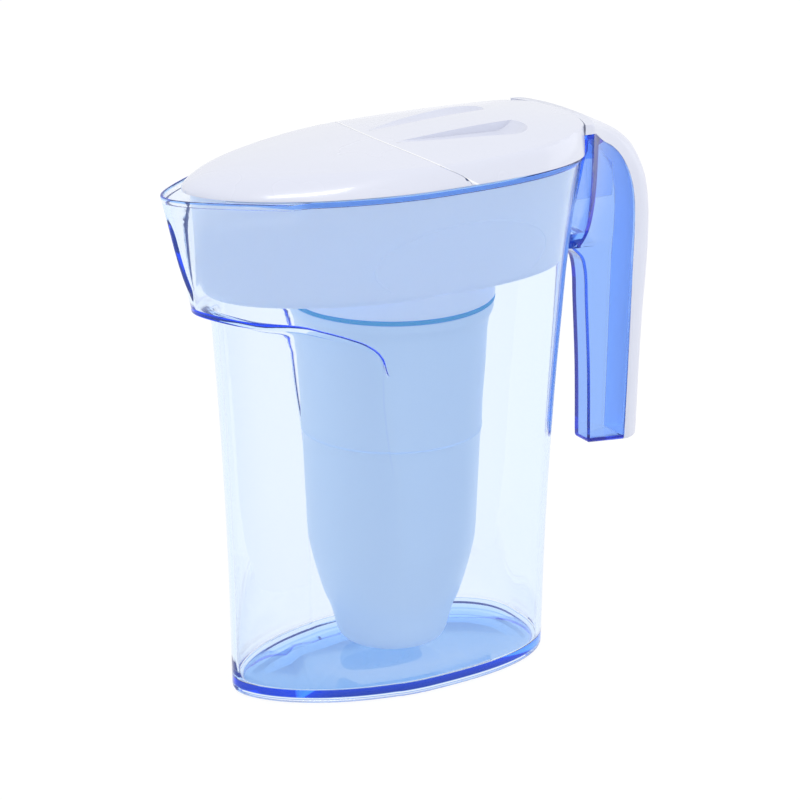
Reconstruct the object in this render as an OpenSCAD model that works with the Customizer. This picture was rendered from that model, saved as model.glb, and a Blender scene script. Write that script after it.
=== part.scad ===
// Water filter pitcher: a clear jug with a beaked spout and a hollow handle, a lift-out
// reservoir that carries a screw-in filter cartridge, and a two-piece lid whose rear half flips up.
// Millimetres, +Z up, +X from the spout to the handle, +Y across the jug.
// The origin is on the floor under the axis of the filter.

/* [Jug] */
// Height of the jug's rim above the floor
rim_z = 227.2; // [225:0.1:229]
// Half width of the jug at the rim
rim_half_w = 49.5; // [48:0.1:51]
// Half width of the jug just above the foot
foot_half_w = 43; // [41:0.1:44]
// Front of the rim, without the beak
rim_front_x = -97.6; // [-99:0.1:-96]
// Rear of the rim
rim_rear_x = 88.5; // [87:0.1:90]
// Front of the body above the foot
foot_front_x = -78.6; // [-80:0.1:-77]
// Rear of the body above the foot
foot_rear_x = 70.7; // [69:0.1:72]
// Tip of the beak at the rim
beak_tip_x = -107.2; // [-109:0.1:-105]
// Height at which the beak grows out of the front wall
beak_base_z = 181; // [175:0.5:190]
// Height of the ledge over the recessed front, at the front
ledge_z = 176; // [170:0.5:182]
// Thickness of the jug's wall
jug_wall = 2.2; // [1.8:0.1:2.6]
// Thickness of the jug's floor
jug_floor = 3.6; // [3:0.1:5]
// Height of the foot ring under the floor
foot_h = 2.2; // [1.5:0.1:3]

/* [Handle] */
// Half width of the grip
grip_half_w = 10; // [8:0.1:12]
// Half width of the grip's inner face
grip_inner_half_w = 5.2; // [4:0.1:7]
// Lower end of the handle
handle_low_z = 84; // [80:0.5:95]
// Thickness of the handle's walls
handle_wall = 2.2; // [1.8:0.1:2.6]
// Play between the handle's shell and its cover
cover_gap = 0.15; // [0.1:0.05:0.3]

/* [Reservoir] */
// Play between the reservoir and the jug's wall
reservoir_play = 0.5; // [0.4:0.05:0.8]
// Thickness of the reservoir's wall
reservoir_wall = 1.5; // [1.2:0.1:1.8]
// Underside of the reservoir's floor
reservoir_z = 180; // [176:0.5:184]
// Outer radius of the collar under the floor
collar_r = 44.5; // [44:0.1:45]
// Thickness of the collar's wall
collar_wall = 2; // [1.5:0.1:2.5]
// Lower edge of the collar
collar_z = 171.6; // [171:0.1:173]

/* [Lid] */
// Thickness of the lid's skin
lid_skin = 2; // [1.6:0.1:2.4]
// Play between the lid's parts
lid_gap = 0.4; // [0.3:0.05:0.6]
// Pivot of the flip lid along the lid
pivot_x = 9; // [7:0.5:11]
// Height of the flip lid's pivot
pivot_z = 231; // [230.5:0.1:231.5]
// Radius of the pivot stubs
pivot_r = 1.3; // [1.1:0.05:1.5]
// Radial play of the pivot stubs
pivot_play = 0.06; // [0.03:0.01:0.09]
// Half width of the pinch ridge
ridge_half_w = 11; // [9:0.5:13]

/* [Filter] */
// Radius of the filter's body under its shoulder
filter_r = 41.3; // [40:0.1:41.6]
// Radius of the filter's body where the taper starts
taper_r = 36.8; // [35:0.1:38]
// Height at which the taper starts
taper_z = 61; // [50:0.5:70]
// Radius of the filter's foot
tip_r = 24; // [20:0.5:26]
// Lower face of the filter
filter_low_z = 12.4; // [11:0.1:16]
// Height of the weld between the filter's two shells
weld_z = 111.5; // [100:0.5:120]
// Thickness of the filter's walls
filter_wall = 1.8; // [1.5:0.1:2.2]
// Number of outlet holes in the filter's foot
outlet_count = 12; // [8:1:16]
// Number of inlet slots in the filter's cap
inlet_count = 16; // [10:1:20]

/* [Hidden] */
$fn = 96;
clear_blue = [0.72, 0.84, 1, 0.45];
deep_blue = [0.35, 0.55, 0.95, 0.8];
pale_blue = [0.74, 0.84, 0.96];
filter_blue = [0.67, 0.79, 0.95];
teal = [0.22, 0.6, 0.84];
lid_white = [0.93, 0.93, 0.97];

// ---------- plan curves ----------
plan_x0 = -4;
ring_n = 64;
ring_angles = [for (i = [0:ring_n - 1]) 360 * i / ring_n];

function spow(base, power) = base < 0 ? -pow(-base, power) : pow(base, power);

// One point of a plan curve: a superellipse with its own length and power at each end.
function plan_point(angle, front_x, front_n, rear_x, rear_n, half_w) =
    let (c = cos(angle), s = sin(angle), power = 2 / (c < 0 ? front_n : rear_n))
    let (reach = c < 0 ? plan_x0 - front_x : rear_x - plan_x0)
    [plan_x0 + reach * spow(c, power), half_w * spow(s, power)];

function front_n(z) = 1.71 + 0.1 * z / rim_z;
function rear_n(z) = 2.69 - 0.1 * z / rim_z;
function side_w(z) = foot_half_w + (rim_half_w - foot_half_w) * pow(z / rim_z, 1.35);
function rear_x(z) = lookup(z, [[0, foot_rear_x], [60, foot_rear_x + 1.5], [120, foot_rear_x + 4.8],
    [160, foot_rear_x + 8], [180, foot_rear_x + 9.8], [205, foot_rear_x + 13.3], [rim_z, rim_rear_x]]);
// The recessed lower front stands back from the full front, which only shows above the ledge.
function recess_x(z) = lookup(z, [[0, foot_front_x], [60, foot_front_x - 0.7],
    [120, foot_front_x - 2.9], [ledge_z, foot_front_x - 6.2]]);
function full_x(z) = lookup(z, [[0, foot_front_x - 2], [120, foot_front_x - 12],
    [ledge_z, foot_front_x - 15.2], [ledge_z + 8, foot_front_x - 16.8], [rim_z, rim_front_x]]);
// The foot's edge is rounded inwards.
function foot_in(z) = z < 2.4 ? 2.2 * (1 - sqrt(1 - pow(1 - z / 2.4, 2))) : 0;

// ---------- lofts: a closed solid from a list of rings of equal length ----------
// Its points run counter-clockwise as seen from above. The caps are laid in strips between the
// two runs that leave point 0, or that leave the pair of points 0 and 1 where first_pair is 1.
module loft(rings, first_pair = 0) {
    n = len(rings[0]);
    m = len(rings);
    points = [for (ring = rings) for (p = ring) p];
    sides = [for (j = [0:m - 2]) for (i = [0:n - 1]) let (a = j * n + i, b = j * n + (i + 1) % n)
        each [[a, a + n, b + n], [a, b + n, b]]];
    function at(i) = (i + n) % n;
    steps = floor((n - first_pair) / 2);
    cap = [for (k = [0:steps - 1])
        let (right = at(k + first_pair), right_next = at(k + 1 + first_pair), left = at(-k),
            left_next = at(-k - 1))
        each concat(right == left ? [] : [[left, right, right_next]],
            right_next == left_next ? [] : [[left, right_next, left_next]])];
    function lift(face, base) = [for (i = face) i + base];
    polyhedron(points = points, faces = concat([for (face = cap) face], sides,
        [for (face = cap) lift([face[2], face[1], face[0]], (m - 1) * n)]), convexity = 8);
}

// Ring of the jug at height z, taken in by inset; full is the band's surface, else the recess.
function jug_ring(z, inset, full) = [for (angle = ring_angles)
    let (back = inset + foot_in(z))
    let (front = (full ? full_x(z) : recess_x(z)) + back)
    let (p = plan_point(angle, front, front_n(z), rear_x(z) - back, rear_n(z), side_w(z) - back))
    [p[0], p[1], z]];

// The beak: a round-nosed V that leans out of the front wall from beak_base_z to the rim.
beak_nose_r = 4.2;
beak_slope = 1.55;
function beak_x(z) = full_x(beak_base_z) + 1.8 + (beak_tip_x - full_x(beak_base_z) - 1.8)
    * pow((z - beak_base_z) / (rim_z - beak_base_z), 0.63);

// Height of the ledge's edge at a place along X: level at the front, falling away to the rear.
function edge_z(x) = lookup(x, [[-90, ledge_z - 1], [-76, ledge_z - 2.8], [-64, ledge_z - 4.2],
    [-54, ledge_z - 6.8], [-43, ledge_z - 11], [-35, ledge_z - 15], [-29, ledge_z - 21],
    [-22, ledge_z - 30]]);

// Height of the inner corner under the ledge, where its sloping underside meets the recess.
function corner_z(x) = lookup(x, [[-90, ledge_z - 5.5], [-68, ledge_z - 14], [-53, ledge_z - 23],
    [-40, ledge_z - 29.5], [-22, ledge_z - 37]]);

// Front of the jug at a place across it: the plan curve or the beak, whichever stands further out.
function beaked(p, z, inset) = z < beak_base_z || p[0] > -60 ? p
    : [min(p[0], beak_x(z) + inset * 1.25
        + sqrt(pow(beak_nose_r, 2) + pow(beak_slope * p[1], 2)) - beak_nose_r), p[1], p[2]];
function beaked_ring(z, inset) = [for (p = jug_ring(z, inset, true)) beaked(p, z, inset)];
function raised(ring, z) = [for (p = ring) [p[0], p[1], z]];
// Ring that runs along the ledge's edge, on the recessed or on the full surface.
function edge_ring(inset, full, lift) = [for (angle = ring_angles)
    let (x = plan_point(angle, recess_x(ledge_z), front_n(ledge_z), rear_x(ledge_z), rear_n(ledge_z),
        side_w(ledge_z))[0])
    let (z = (full ? edge_z(x) : corner_z(x)) + lift)
    let (step = full ? min(1, max(0, (-22 - x) / 14)) : 0)
    let (front = recess_x(z) + (full_x(z) - recess_x(z)) * step + inset)
    let (p = plan_point(angle, front, front_n(z), rear_x(z) - inset, rear_n(z), side_w(z) - inset))
    [p[0], p[1], z]];

foot_levels = [0.4, 1.2, 2.4];
low_levels = [30, 70, 105, 130];
band_levels = [beak_base_z, 184, 190, 198, 207, 217];
lip_z = rim_z - 2.6;
lip_out = 1.1;
jug_floor_z = foot_h + jug_floor;

// The jug in one skin: under the floor, round the foot, up the outside, over the rim, down the inside.
module jug() {
    inner = jug_wall;
    loft(concat(
        [raised(jug_ring(0, 4.6, false), foot_h), raised(jug_ring(0, 3.4, false), 0)],
        [for (z = concat([0], foot_levels, low_levels)) jug_ring(z, 0, false)],
        [edge_ring(0, false, 0), edge_ring(0, true, 0)],
        [for (z = concat(band_levels, [rim_z])) beaked_ring(z, 0)],
        [raised(beaked_ring(rim_z, lip_out), rim_z), raised(beaked_ring(rim_z, lip_out), lip_z)],
        [raised(beaked_ring(lip_z, inner), lip_z)],
        [for (i = [len(band_levels) - 1:-1:0]) beaked_ring(band_levels[i], inner)],
        [edge_ring(inner, true, inner), edge_ring(inner, false, inner / 2)],
        [for (i = [len(low_levels) - 1:-1:0]) jug_ring(low_levels[i], inner, false)],
        [jug_ring(jug_floor_z + 2.5, inner, false),
            raised(jug_ring(jug_floor_z, inner + 2.5, false), jug_floor_z)]));
}

// ---------- handle ----------
// Arc of the lid's rear edge, and of the saddle that carries the handle, in plan.
function lid_arc(y) = 86.5 - 8.04 * pow(y / 30, 2) + 0.5 * pow(y / 30, 4);
function saddle_arc(y) = 92.5 - 9 * pow(y / 30, 2);
saddle_top_z = 236;
tongue_z = 178;
// Half width of the handle's root at a height, from the tongue under it to its top.
function root_w(z) = lookup(z, [[tongue_z, grip_inner_half_w], [180, 7], [184, 11], [190, 15.8],
    [198, 20.2], [206, 23.6], [220, 27], [saddle_top_z, 29.4], [241, 30]]);
function grip_inner_x(z) = lookup(z, [[handle_low_z, 100.6], [120, 99.6], [153, 97.6],
    [164, 97], [171, 95.7], [174, 94.2], [tongue_z, 90]]);
function grip_back_x(z) = lookup(z, [[handle_low_z, 127.6], [122, 128.7], [145, 129.7], [160, 130.8],
    [178, 131.6], [193, 131.3], [205, 129.5], [212.6, 126.8], [219, 123.3], [224, 119.6],
    [229.4, 113], [232.9, 106.6], [235.9, 100.4], [238.6, 94.6], [241.2, 88.4]]);
flare_end_x = 120;

// Half width of the handle at a place along X and a height.
function handle_w(x, z) =
    let (root = z > tongue_z ? root_w(z) : grip_inner_half_w)
    let (root_x = z > tongue_z ? saddle_arc(root) : grip_inner_x(z))
    let (s = max(0, min(1, (flare_end_x - x) / (flare_end_x - root_x))))
    grip_half_w + (root - grip_half_w) * pow(s, lookup(z, [[tongue_z, 1], [186, 1.7]]));

side_steps = 12;
root_front_x = 75;
// Ring of the handle: a flat front, along one side, round the back and home.
function handle_ring(z, inset) =
    let (start = (z > tongue_z ? root_front_x : grip_inner_x(z)) + inset)
    let (back = max(start + 2, grip_back_x(z) - inset))
    let (soft = min(9, (back - start) * 0.7))
    let (side = [for (i = [0:side_steps - 1])
        let (x = back - (back - start) * pow(cos(90 * i / side_steps), 1.5))
        let (s = max(0, (x - back + soft) / soft))
        let (w = handle_w(x, z) - inset)
        [x, max(0.4, w * pow(max(0, 1 - pow(s, 2.4)), 1 / 2.4))]])
    concat([[side[0][0], side[0][1], z]], [for (p = side) [p[0], -p[1], z]], [[back, 0, z]],
        [for (i = [side_steps - 1:-1:1]) [side[i][0], side[i][1], z]]);

handle_levels = [handle_low_z + 1.6, 92, 110, 130, 150, 165, 171, 174, tongue_z, 180, 184, 190, 198,
    206, 213, 219, 224, 229, 233, 236, 238.6, 240.6];
module handle_volume() {
    loft(concat([raised(handle_ring(handle_low_z + 0.01, 1.4), handle_low_z)],
        [for (z = handle_levels) handle_ring(z, 0)]), first_pair = 1);
}
module handle_hollow() {
    loft([for (z = handle_levels) if (z > handle_low_z + 4 && z < 231) handle_ring(z, handle_wall)],
        first_pair = 1);
}

// Side view of the space that belongs to the cover: the crescent on top and the back strip.
module cover_region(grow) {
    seam = [[70, saddle_top_z], [84.5, saddle_top_z], [88, 234.6], [95.5, 229.6], [104, 225],
        [111, 219], [116.7, 210], [119.6, 199], [120.2, 184], [119.8, 165], [118.7, 113],
        [117.8, 80]];
    rotate([90, 0, 0])
        linear_extrude(200, center = true)
            polygon(concat([for (p = seam) p - [grow, grow]], [[150, 80 - grow], [150, 260], [70, 260]]));
}

// Upright prisms behind or before an arc in plan.
arc_steps = 10;
function arc_y(i) = 40 * i / arc_steps;
module behind_saddle(shift) {
    translate([0, 0, 150])
        linear_extrude(120)
            polygon(concat([for (i = [-arc_steps:arc_steps]) [saddle_arc(arc_y(i)) + shift, arc_y(i)]],
                [[160, 40], [160, -40]]));
}
module before_saddle(shift) {
    translate([0, 0, 150])
        linear_extrude(saddle_top_z + shift - 150)
            polygon(concat([for (i = [arc_steps:-1:-arc_steps]) [saddle_arc(arc_y(i)) + shift, arc_y(i)]],
                [[60, -40], [60, 40]]));
}
module before_lid(shift) {
    translate([0, 0, saddle_top_z - 8])
        linear_extrude(30)
            polygon(concat([for (i = [arc_steps:-1:-arc_steps]) [lid_arc(arc_y(i)) + shift, arc_y(i)]],
                [[60, -40], [60, 40]]));
}
module behind_lid(shift) {
    translate([0, 0, 200])
        linear_extrude(60)
            polygon(concat([for (i = [-arc_steps:arc_steps]) [lid_arc(arc_y(i)) + shift, arc_y(i)]],
                [[160, 40], [160, -40]]));
}
grip_box_x = 80;
module grip_box() {
    translate([grip_box_x, -40, 70])
        cube([70, 80, tongue_z - 70]);
}

// ---------- lid ----------
lid_edge_z = rim_z + 0.4;
lid_front_x = rim_front_x + 0.8;
lid_rear_x = 88.2;
lid_half_w = rim_half_w - 0.9;
lid_front_n = 1.82;
lid_rear_n = 2.8;
function lid_mid_z(x) = lookup(x, [[-97, 228.6], [-93, 231.4], [-86, 233.9], [-76, 235.9], [-60, 237.6],
    [-40, 238.7], [-20, 239.4], [0, 240.3], [20, 241.5], [40, 242.5], [60, 242.6], [75, 241.9], [87, 241]]);
// The crease where the crown meets the shoulder: its height, and its place across the lid.
function crease_z(x) = lookup(x, [[-97, 228.4], [-93, 231], [-86, 233], [-76, 234.8], [-60, 236.2],
    [-30, 236.8], [0, 236.8], [30, 237.4], [60, 238.6], [76, 240], [87, 240.6]]);
function crease_at(x) = lookup(x, [[-97, 0.35], [-80, 0.5], [-60, 0.62], [-40, 0.74], [-20, 0.84],
    [0, 0.91], [40, 0.93], [87, 0.94]]);
function lid_w(x) = let (front = x < plan_x0)
    let (reach = front ? plan_x0 - lid_front_x : lid_rear_x - plan_x0, n = front ? lid_front_n : lid_rear_n)
    lid_half_w * pow(max(0.0001, 1 - pow(min(1, abs(x - plan_x0) / reach), n)), 1 / n);
// Height of the lid's top: a crown between the creases and a rounded shoulder outside them.
function lid_z(x, y) = let (u = min(1, abs(y) / lid_w(x)), crease = crease_at(x))
    u < crease ? crease_z(x) + (lid_mid_z(x) - crease_z(x)) * (1 - pow(u / crease, 2.2))
        : lid_edge_z + (crease_z(x) - lid_edge_z) * pow(1 - pow((u - crease) / (1 - crease), 1.8), 0.8);
lid_ratios = [0.02, 0.2, 0.38, 0.54, 0.68, 0.8, 0.88, 0.93, 0.965, 0.99];

function lid_plan(angle, ratio, inset) =
    let (p = plan_point(angle, lid_front_x + inset, lid_front_n, lid_rear_x - inset, lid_rear_n,
        lid_half_w - inset))
    [plan_x0 + (p[0] - plan_x0) * ratio, p[1] * ratio];
function lid_ring(ratio, inset, drop) = [for (angle = ring_angles)
    let (p = lid_plan(angle, ratio, inset))
    [p[0], p[1], max(lid_edge_z - (drop > 0 ? 1 : -0.02), lid_z(p[0], p[1]) - drop)]];
function flat_ring(inset, z) = [for (angle = ring_angles)
    let (p = lid_plan(angle, 1, inset)) [p[0], p[1], z]];

// The lid as a full dome; inset and drop take it in and down for the hollow inside.
module lid_volume(inset, drop) {
    base_z = lid_edge_z - (drop > 0 ? 1.6 : 0);
    loft(concat([flat_ring(inset, base_z)],
        [for (i = [len(lid_ratios) - 1:-1:0]) lid_ring(lid_ratios[i], inset, drop)]));
}

// Plan of the seam between the two halves, swept back down the shoulder to the pivot; the
// shoulder itself is parted by a sloping line seen from the side.
seam_half = [[0, -9], [18, -8.6], [26, -7], [33, -5.2], [39.5, -4], [42.5, -3.3], [44.3, -2.2]];
seam_side = [[-9, 242], [-4, 238.5], [-2.2, 236.7], [1.2, 234.9], [5.4, 232.7], [8.8, 230.4],
    [10.7, 228], [12, 224]];
shoulder_y = 43.9;
module flap_region(grow) {
    linear_extrude(300)
        intersection() {
            offset(delta = grow)
                polygon(concat([for (i = [len(seam_half) - 1:-1:0]) [seam_half[i][1], -seam_half[i][0]]],
                    [for (i = [1:len(seam_half) - 1]) [seam_half[i][1], seam_half[i][0]]],
                    [[120, 60], [120, -60]]));
            square([400, 2 * (shoulder_y + grow)], center = true);
        }
    for (side = [-1, 1])
        translate([0, side * (shoulder_y + 9.8 - grow), 0])
            rotate([90, 0, 0])
                linear_extrude(20, center = true)
                    offset(delta = grow)
                        polygon(concat(seam_side, [[120, 224], [120, 242]]));
}

// What the flap sweeps in front of its pivot as it turns: a spindle about the pivot. Beside the
// shoulder it stops short of the root that carries the pivot boss.
seam_shoulder = concat(seam_half, [[46.3, 1.2], [47.3, 5.4], [48, 8.8]]);
sweep_play = 0.4;
function seam_x(y) = lookup(y, seam_shoulder);
function sweep_r(y) = norm([seam_x(y) - pivot_x, lid_z(seam_x(y), y) - pivot_z]) + sweep_play;
sweep_half_w = 48;
module flap_sweep() {
    translate([pivot_x, 0, pivot_z])
        rotate([90, 0, 0])
            intersection() {
                rotate_extrude($fn = 60)
                    polygon(concat([[0, -sweep_half_w]],
                        [for (i = [-24:24]) let (y = sweep_half_w * sin(90 * i / 24)) [sweep_r(abs(y)), y]],
                        [[0, sweep_half_w]]));
                union() {
                    cube([90, 90, 2 * shoulder_y], center = true);
                    linear_extrude(100, center = true)
                        polygon([[1, -0.3], [1, 30], [-30, 30], [-30, -30], [-14, -30], [-5.2, -11.4],
                            [-3.4, -8], [-1.2, -3.8]]);
                }
            }
}

// Two finger scoops, tapered from a point at the front to a bowl behind, beside the ridge.
module scoops(grow) {
    for (side = [-1, 1])
        intersection() {
            hull() {
                translate([-3, side * (ridge_half_w + 1), 241.1])
                    sphere(r = 1 + grow, $fn = 12);
                translate([24, side * (ridge_half_w + 3.4), 243])
                    sphere(r = 4.6 + grow, $fn = 16);
                translate([51, side * (ridge_half_w + 6.6), 244.6])
                    sphere(r = 9.2 + grow, $fn = 24);
            }
            translate([-20, side > 0 ? ridge_half_w - grow : -60 - ridge_half_w + grow, 200])
                cube([110, 60, 60]);
        }
}

lug_y = 38;
lug_t = 3;
lug_h = 5.6;
boss_r = 2.5;
boss_y = 41.6;
boss_t = 4.1;
boss_room_r = boss_r + lid_gap;

// ---------- filter ----------
weld_r = filter_r - 2.6;

// ==================== parts ====================
module pitcher_body() color(clear_blue) {
    jug();
    saddle();
}

// Raised wall behind the lid that carries the handle, with a tongue running down the rear wall.
saddle_levels = [tongue_z + 0.4, 180, 184, 190, 198, 206, 216, rim_z - 0.4, rim_z + 0.4, saddle_top_z];
function wall_x(y, z) = plan_x0 + (rear_x(z) - plan_x0)
    * pow(1 - pow(min(1, abs(y) / side_w(z)), rear_n(z)), 1 / rear_n(z));
function saddle_front(y, z) = z > rim_z ? lid_arc(y) : wall_x(y, z) - jug_wall / 2;
function saddle_back(y, z) = min(saddle_arc(y), lookup(z, [[tongue_z, 89], [182, 93]]));
saddle_steps = 8;
// Ring of the saddle: a crescent, its back and front points taken in mirrored pairs.
function saddle_ring(z) = let (w = root_w(z), n = saddle_steps)
    let (front = [for (i = [-n:n]) let (y = w * i / n)
        [min(saddle_front(y, z), saddle_back(y, z) - 1.5), y, z]])
    concat([front[0]], [for (i = [-n:n]) let (y = w * i / n) [saddle_back(y, z), y, z]],
        [for (i = [2 * n:-1:1]) front[i]]);
module saddle() {
    loft([for (z = saddle_levels) saddle_ring(z)], first_pair = 1);
}

web_t = 1.8;
module handle_shell() color(deep_blue) {
    difference() {
        intersection() {
            handle_volume();
            union() {
                behind_saddle(0.1);
                grip_box();
            }
        }
        cover_region(cover_gap);
        intersection() {
            handle_hollow();
            union() {
                behind_saddle(0.1 + handle_wall);
                grip_box();
            }
        }
    }
    // centre web that stiffens the root
    translate([0, web_t / 2, 0])
        rotate([90, 0, 0])
            linear_extrude(web_t)
                polygon([[94, 199], [112.5, 199], [112.5, 214], [104, 221.5], [94, 226]]);
}

module handle_cover() color(lid_white) {
    difference() {
        intersection() {
            handle_volume();
            cover_region(0);
        }
        handle_hollow();
        before_lid(lid_gap);
        before_saddle(cover_gap);
    }
}

// The reservoir follows the jug's wall, but its front stands further back and is undercut.
bin_out = jug_wall + reservoir_play;
function bin_front(z) = lookup(z, [[reservoir_z, -85.6], [reservoir_z + 2, -87.2],
    [reservoir_z + 5, -88.8], [193, -90.1], [203, -91.2], [215, -92.3], [rim_z, -92.8]]);
function bin_ring(z, inset, out_z) = [for (angle = ring_angles)
    let (p = plan_point(angle, bin_front(out_z) + inset - bin_out, front_n(z), rear_x(z) - inset,
        rear_n(z), side_w(z) - inset))
    [p[0], p[1], out_z]];
function lip_ring(z, inset) = [for (p = jug_ring(z, inset, true)) [p[0], p[1], z]];
bin_in = bin_out + reservoir_wall;
bin_levels = [reservoir_z + 5.5, 196, 208, 218, lip_z];
bin_floor = 2;

module reservoir() color(pale_blue) {
    difference() {
        union() {
            loft(concat([bin_ring(reservoir_z + 6, bin_out + 4.6, reservoir_z),
                bin_ring(reservoir_z + 6, bin_out + 1.6, reservoir_z + 1.6),
                bin_ring(reservoir_z + 6, bin_out + 0.4, reservoir_z + 3.6)],
                [for (z = bin_levels) bin_ring(z, bin_out, z)],
                [bin_ring(rim_z - 0.3, bin_out, rim_z - 0.3)]));
            loft([lip_ring(lip_z + 0.3, lip_out + 0.35), lip_ring(rim_z - 0.3, lip_out + 0.35)]);
            translate([0, 0, collar_z])
                cylinder(h = reservoir_z - collar_z + 3, r = collar_r);
            oval_emboss();
        }
        loft(concat([bin_ring(reservoir_z + 6, bin_in + 4, reservoir_z + bin_floor),
            bin_ring(reservoir_z + 6, bin_in + 1.2, reservoir_z + bin_floor + 1.8)],
            [for (z = [reservoir_z + 7, 196, 208, 218, rim_z]) bin_ring(z, bin_in, z)],
            [bin_ring(rim_z, bin_in, rim_z + 1)]));
        translate([0, 0, collar_z - 1])
            cylinder(h = 30, r = collar_r - collar_wall);
        lip_gap_at_spout();
    }
}
// The lip is left out over the beak, where the water pours.
module lip_gap_at_spout() {
    difference() {
        translate([-110, -17, lip_z - 0.5])
            cube([34, 34, 6]);
        loft([bin_ring(lip_z - 2, bin_out, lip_z - 2), bin_ring(rim_z, bin_out, rim_z + 6)]);
    }
}
// Plain raised oval line on each side of the reservoir.
module oval_emboss() {
    for (side = [-1, 1])
        intersection() {
            translate([10.5, 0, 195])
                rotate([90, 0, 0])
                    difference() {
                        scale_oval(1);
                        scale_oval(0.975);
                    }
            loft([bin_ring(187, bin_out - 0.25, 187), bin_ring(214, bin_out - 0.25, 214)]);
        }
}
module scale_oval(k) {
    linear_extrude(120, center = true)
        polygon([for (i = [0:59]) let (a = 6 * i) [k * 42.4 * cos(a), k * 16.1 * sin(a)]]);
}

module lid_shell() {
    difference() {
        lid_volume(0, 0);
        difference() {
            lid_volume(lid_skin, lid_skin);
            behind_lid(-lid_gap - lid_skin);
        }
        behind_lid(-lid_gap);
    }
}

module lid_front() color(lid_white) {
    difference() {
        union() {
            difference() {
                union() {
                    lid_shell();
                    lid_skirt();
                }
                flap_region(lid_gap);
                flap_sweep();
            }
            // pivot bosses on the side arms
            for (side = [-1, 1])
                translate([pivot_x, side * (boss_y + boss_t), pivot_z])
                    rotate([side * 90, 0, 0])
                        cylinder(h = boss_t, r = boss_r);
            // roots that join the bosses to the arms' skin
            for (side = [-1, 1])
                translate([pivot_x, side * (boss_y + boss_t - 0.1), pivot_z])
                    rotate([90, 0, 0])
                        linear_extrude(3.4, center = true)
                            polygon([[-0.1, -1.3], [-0.8, -3.2], [1.3, -3.2], [0.3, -1.8]]);
        }
        for (side = [-1, 1])
            translate([pivot_x, side * (boss_y - 1), pivot_z])
                rotate([-side * 90, 0, 0])
                    cylinder(h = boss_t + 0.4, r = pivot_r + pivot_play);
    }
}
// Skirt that drops inside the reservoir and keeps the lid in place.
module lid_skirt() {
    skirt_low = rim_z - 4.4;
    intersection() {
        difference() {
            loft([bin_ring(skirt_low, bin_in + 0.5, skirt_low), bin_ring(rim_z, bin_in + 0.5, rim_z + 4)]);
            loft([bin_ring(skirt_low, bin_in + 2, skirt_low - 1), bin_ring(rim_z, bin_in + 2, rim_z + 5)]);
        }
        lid_volume_filled();
        translate([-120, -60, 200])
            cube([96, 120, 60]);
    }
}
module lid_volume_filled() {
    lid_volume(0, 0);
    loft([flat_ring(3, lid_edge_z - 8), flat_ring(3, lid_edge_z + 1)]);
}

module lid_flap() color(lid_white) {
    difference() {
        union() {
            difference() {
                intersection() {
                    union() {
                        lid_shell();
                        intersection() {
                            scoops(1.8);
                            lid_volume(0, 0);
                        }
                    }
                    flap_region(0);
                }
                scoops(0);
                // room for the bosses, open downwards
                for (side = [-1, 1])
                    translate([pivot_x, side * (boss_y + boss_t / 2 - 0.1), pivot_z])
                        rotate([90, 0, 0])
                            linear_extrude(boss_t + 0.6, center = true) {
                                circle(boss_room_r);
                                translate([-boss_room_r, -6])
                                    square([2 * boss_room_r, 6]);
                            }
            }
            flap_lugs();
        }
    }
    // pivot stubs
    for (side = [-1, 1])
        translate([pivot_x, side * (lug_y + 1), pivot_z])
            rotate([-side * 90, 0, 0])
                cylinder(h = lug_t + 2.4, r = pivot_r);
}
// Lugs that hang from the flap's skin and hold the pivot stubs.
module flap_lugs() {
    for (side = [-1, 1])
        translate([pivot_x, side * (lug_y + lug_t / 2), pivot_z])
            rotate([90, 0, 0])
                linear_extrude(lug_t, center = true)
                    polygon([[-2.4, -2.4], [2.4, -2.4], [4.6, 2], [4.6, lug_h], [-4.6, lug_h], [-4.6, 2]]);
}

module filter_cap() color(filter_blue) {
    difference() {
        union() {
            translate([0, 0, 175])
                cylinder(h = 5.4, r = filter_r + 0.2);
            translate([0, 0, 180.4])
                cylinder(h = 1.6, r1 = filter_r - 1, r2 = filter_r - 4);
        }
        for (i = [0:inlet_count - 1])
            rotate([0, 0, 360 * i / inlet_count])
                translate([18, -1.5, 170])
                    cube([15, 3, 20]);
        translate([0, 0, 174])
            cylinder(h = 4, r = filter_r - 2.4);
    }
    // pull tab across the middle
    translate([-9, -1.2, 181.5])
        cube([18, 2.4, 6]);
}

module filter_housing() color(filter_blue) {
    rotate_extrude()
        polygon([[weld_r - 0.1, weld_z], [weld_r + 0.1, weld_z], [filter_r - 1.9, weld_z + 12],
            [filter_r, 156], [filter_r + 0.6, 160.5], [43.4, 164.5], [44, 166.6], [44, 169.4],
            [filter_r + 0.3, 169.4], [filter_r + 0.3, 174.8], [filter_r - filter_wall, 174.8],
            [filter_r - filter_wall, 156], [filter_r - 1.9 - filter_wall, weld_z + 12],
            [weld_r - filter_wall, weld_z]]);
}

module filter_cup() color(filter_blue) {
    low = filter_low_z;
    difference() {
        rotate_extrude()
            polygon([[0, low], [tip_r - 5, low], [tip_r - 1.8, low + 1], [tip_r, low + 3.4],
                [tip_r + 1.4, low + 8], [taper_r - 7.6, taper_z - 28], [taper_r - 3, taper_z - 14],
                [taper_r - 0.9, taper_z - 5], [taper_r, taper_z + 1], [weld_r, weld_z - 0.05],
                [weld_r - filter_wall, weld_z - 0.05], [taper_r - filter_wall, taper_z],
                [taper_r - 1 - filter_wall, taper_z - 5.4],
                [taper_r - 3.2 - filter_wall, taper_z - 14], [taper_r - 7.8 - filter_wall, taper_z - 28],
                [tip_r - 0.8, low + 8], [tip_r - 2.2, low + 3], [0, low + 2]]);
        for (i = [0:outlet_count - 1])
            rotate([0, 0, 360 * i / outlet_count])
                translate([13, 0, low - 1])
                    cylinder(h = 4, r = 1.5, $fn = 24);
        translate([0, 0, low - 1])
            cylinder(h = 4, r = 2.2, $fn = 24);
    }
}

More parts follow.
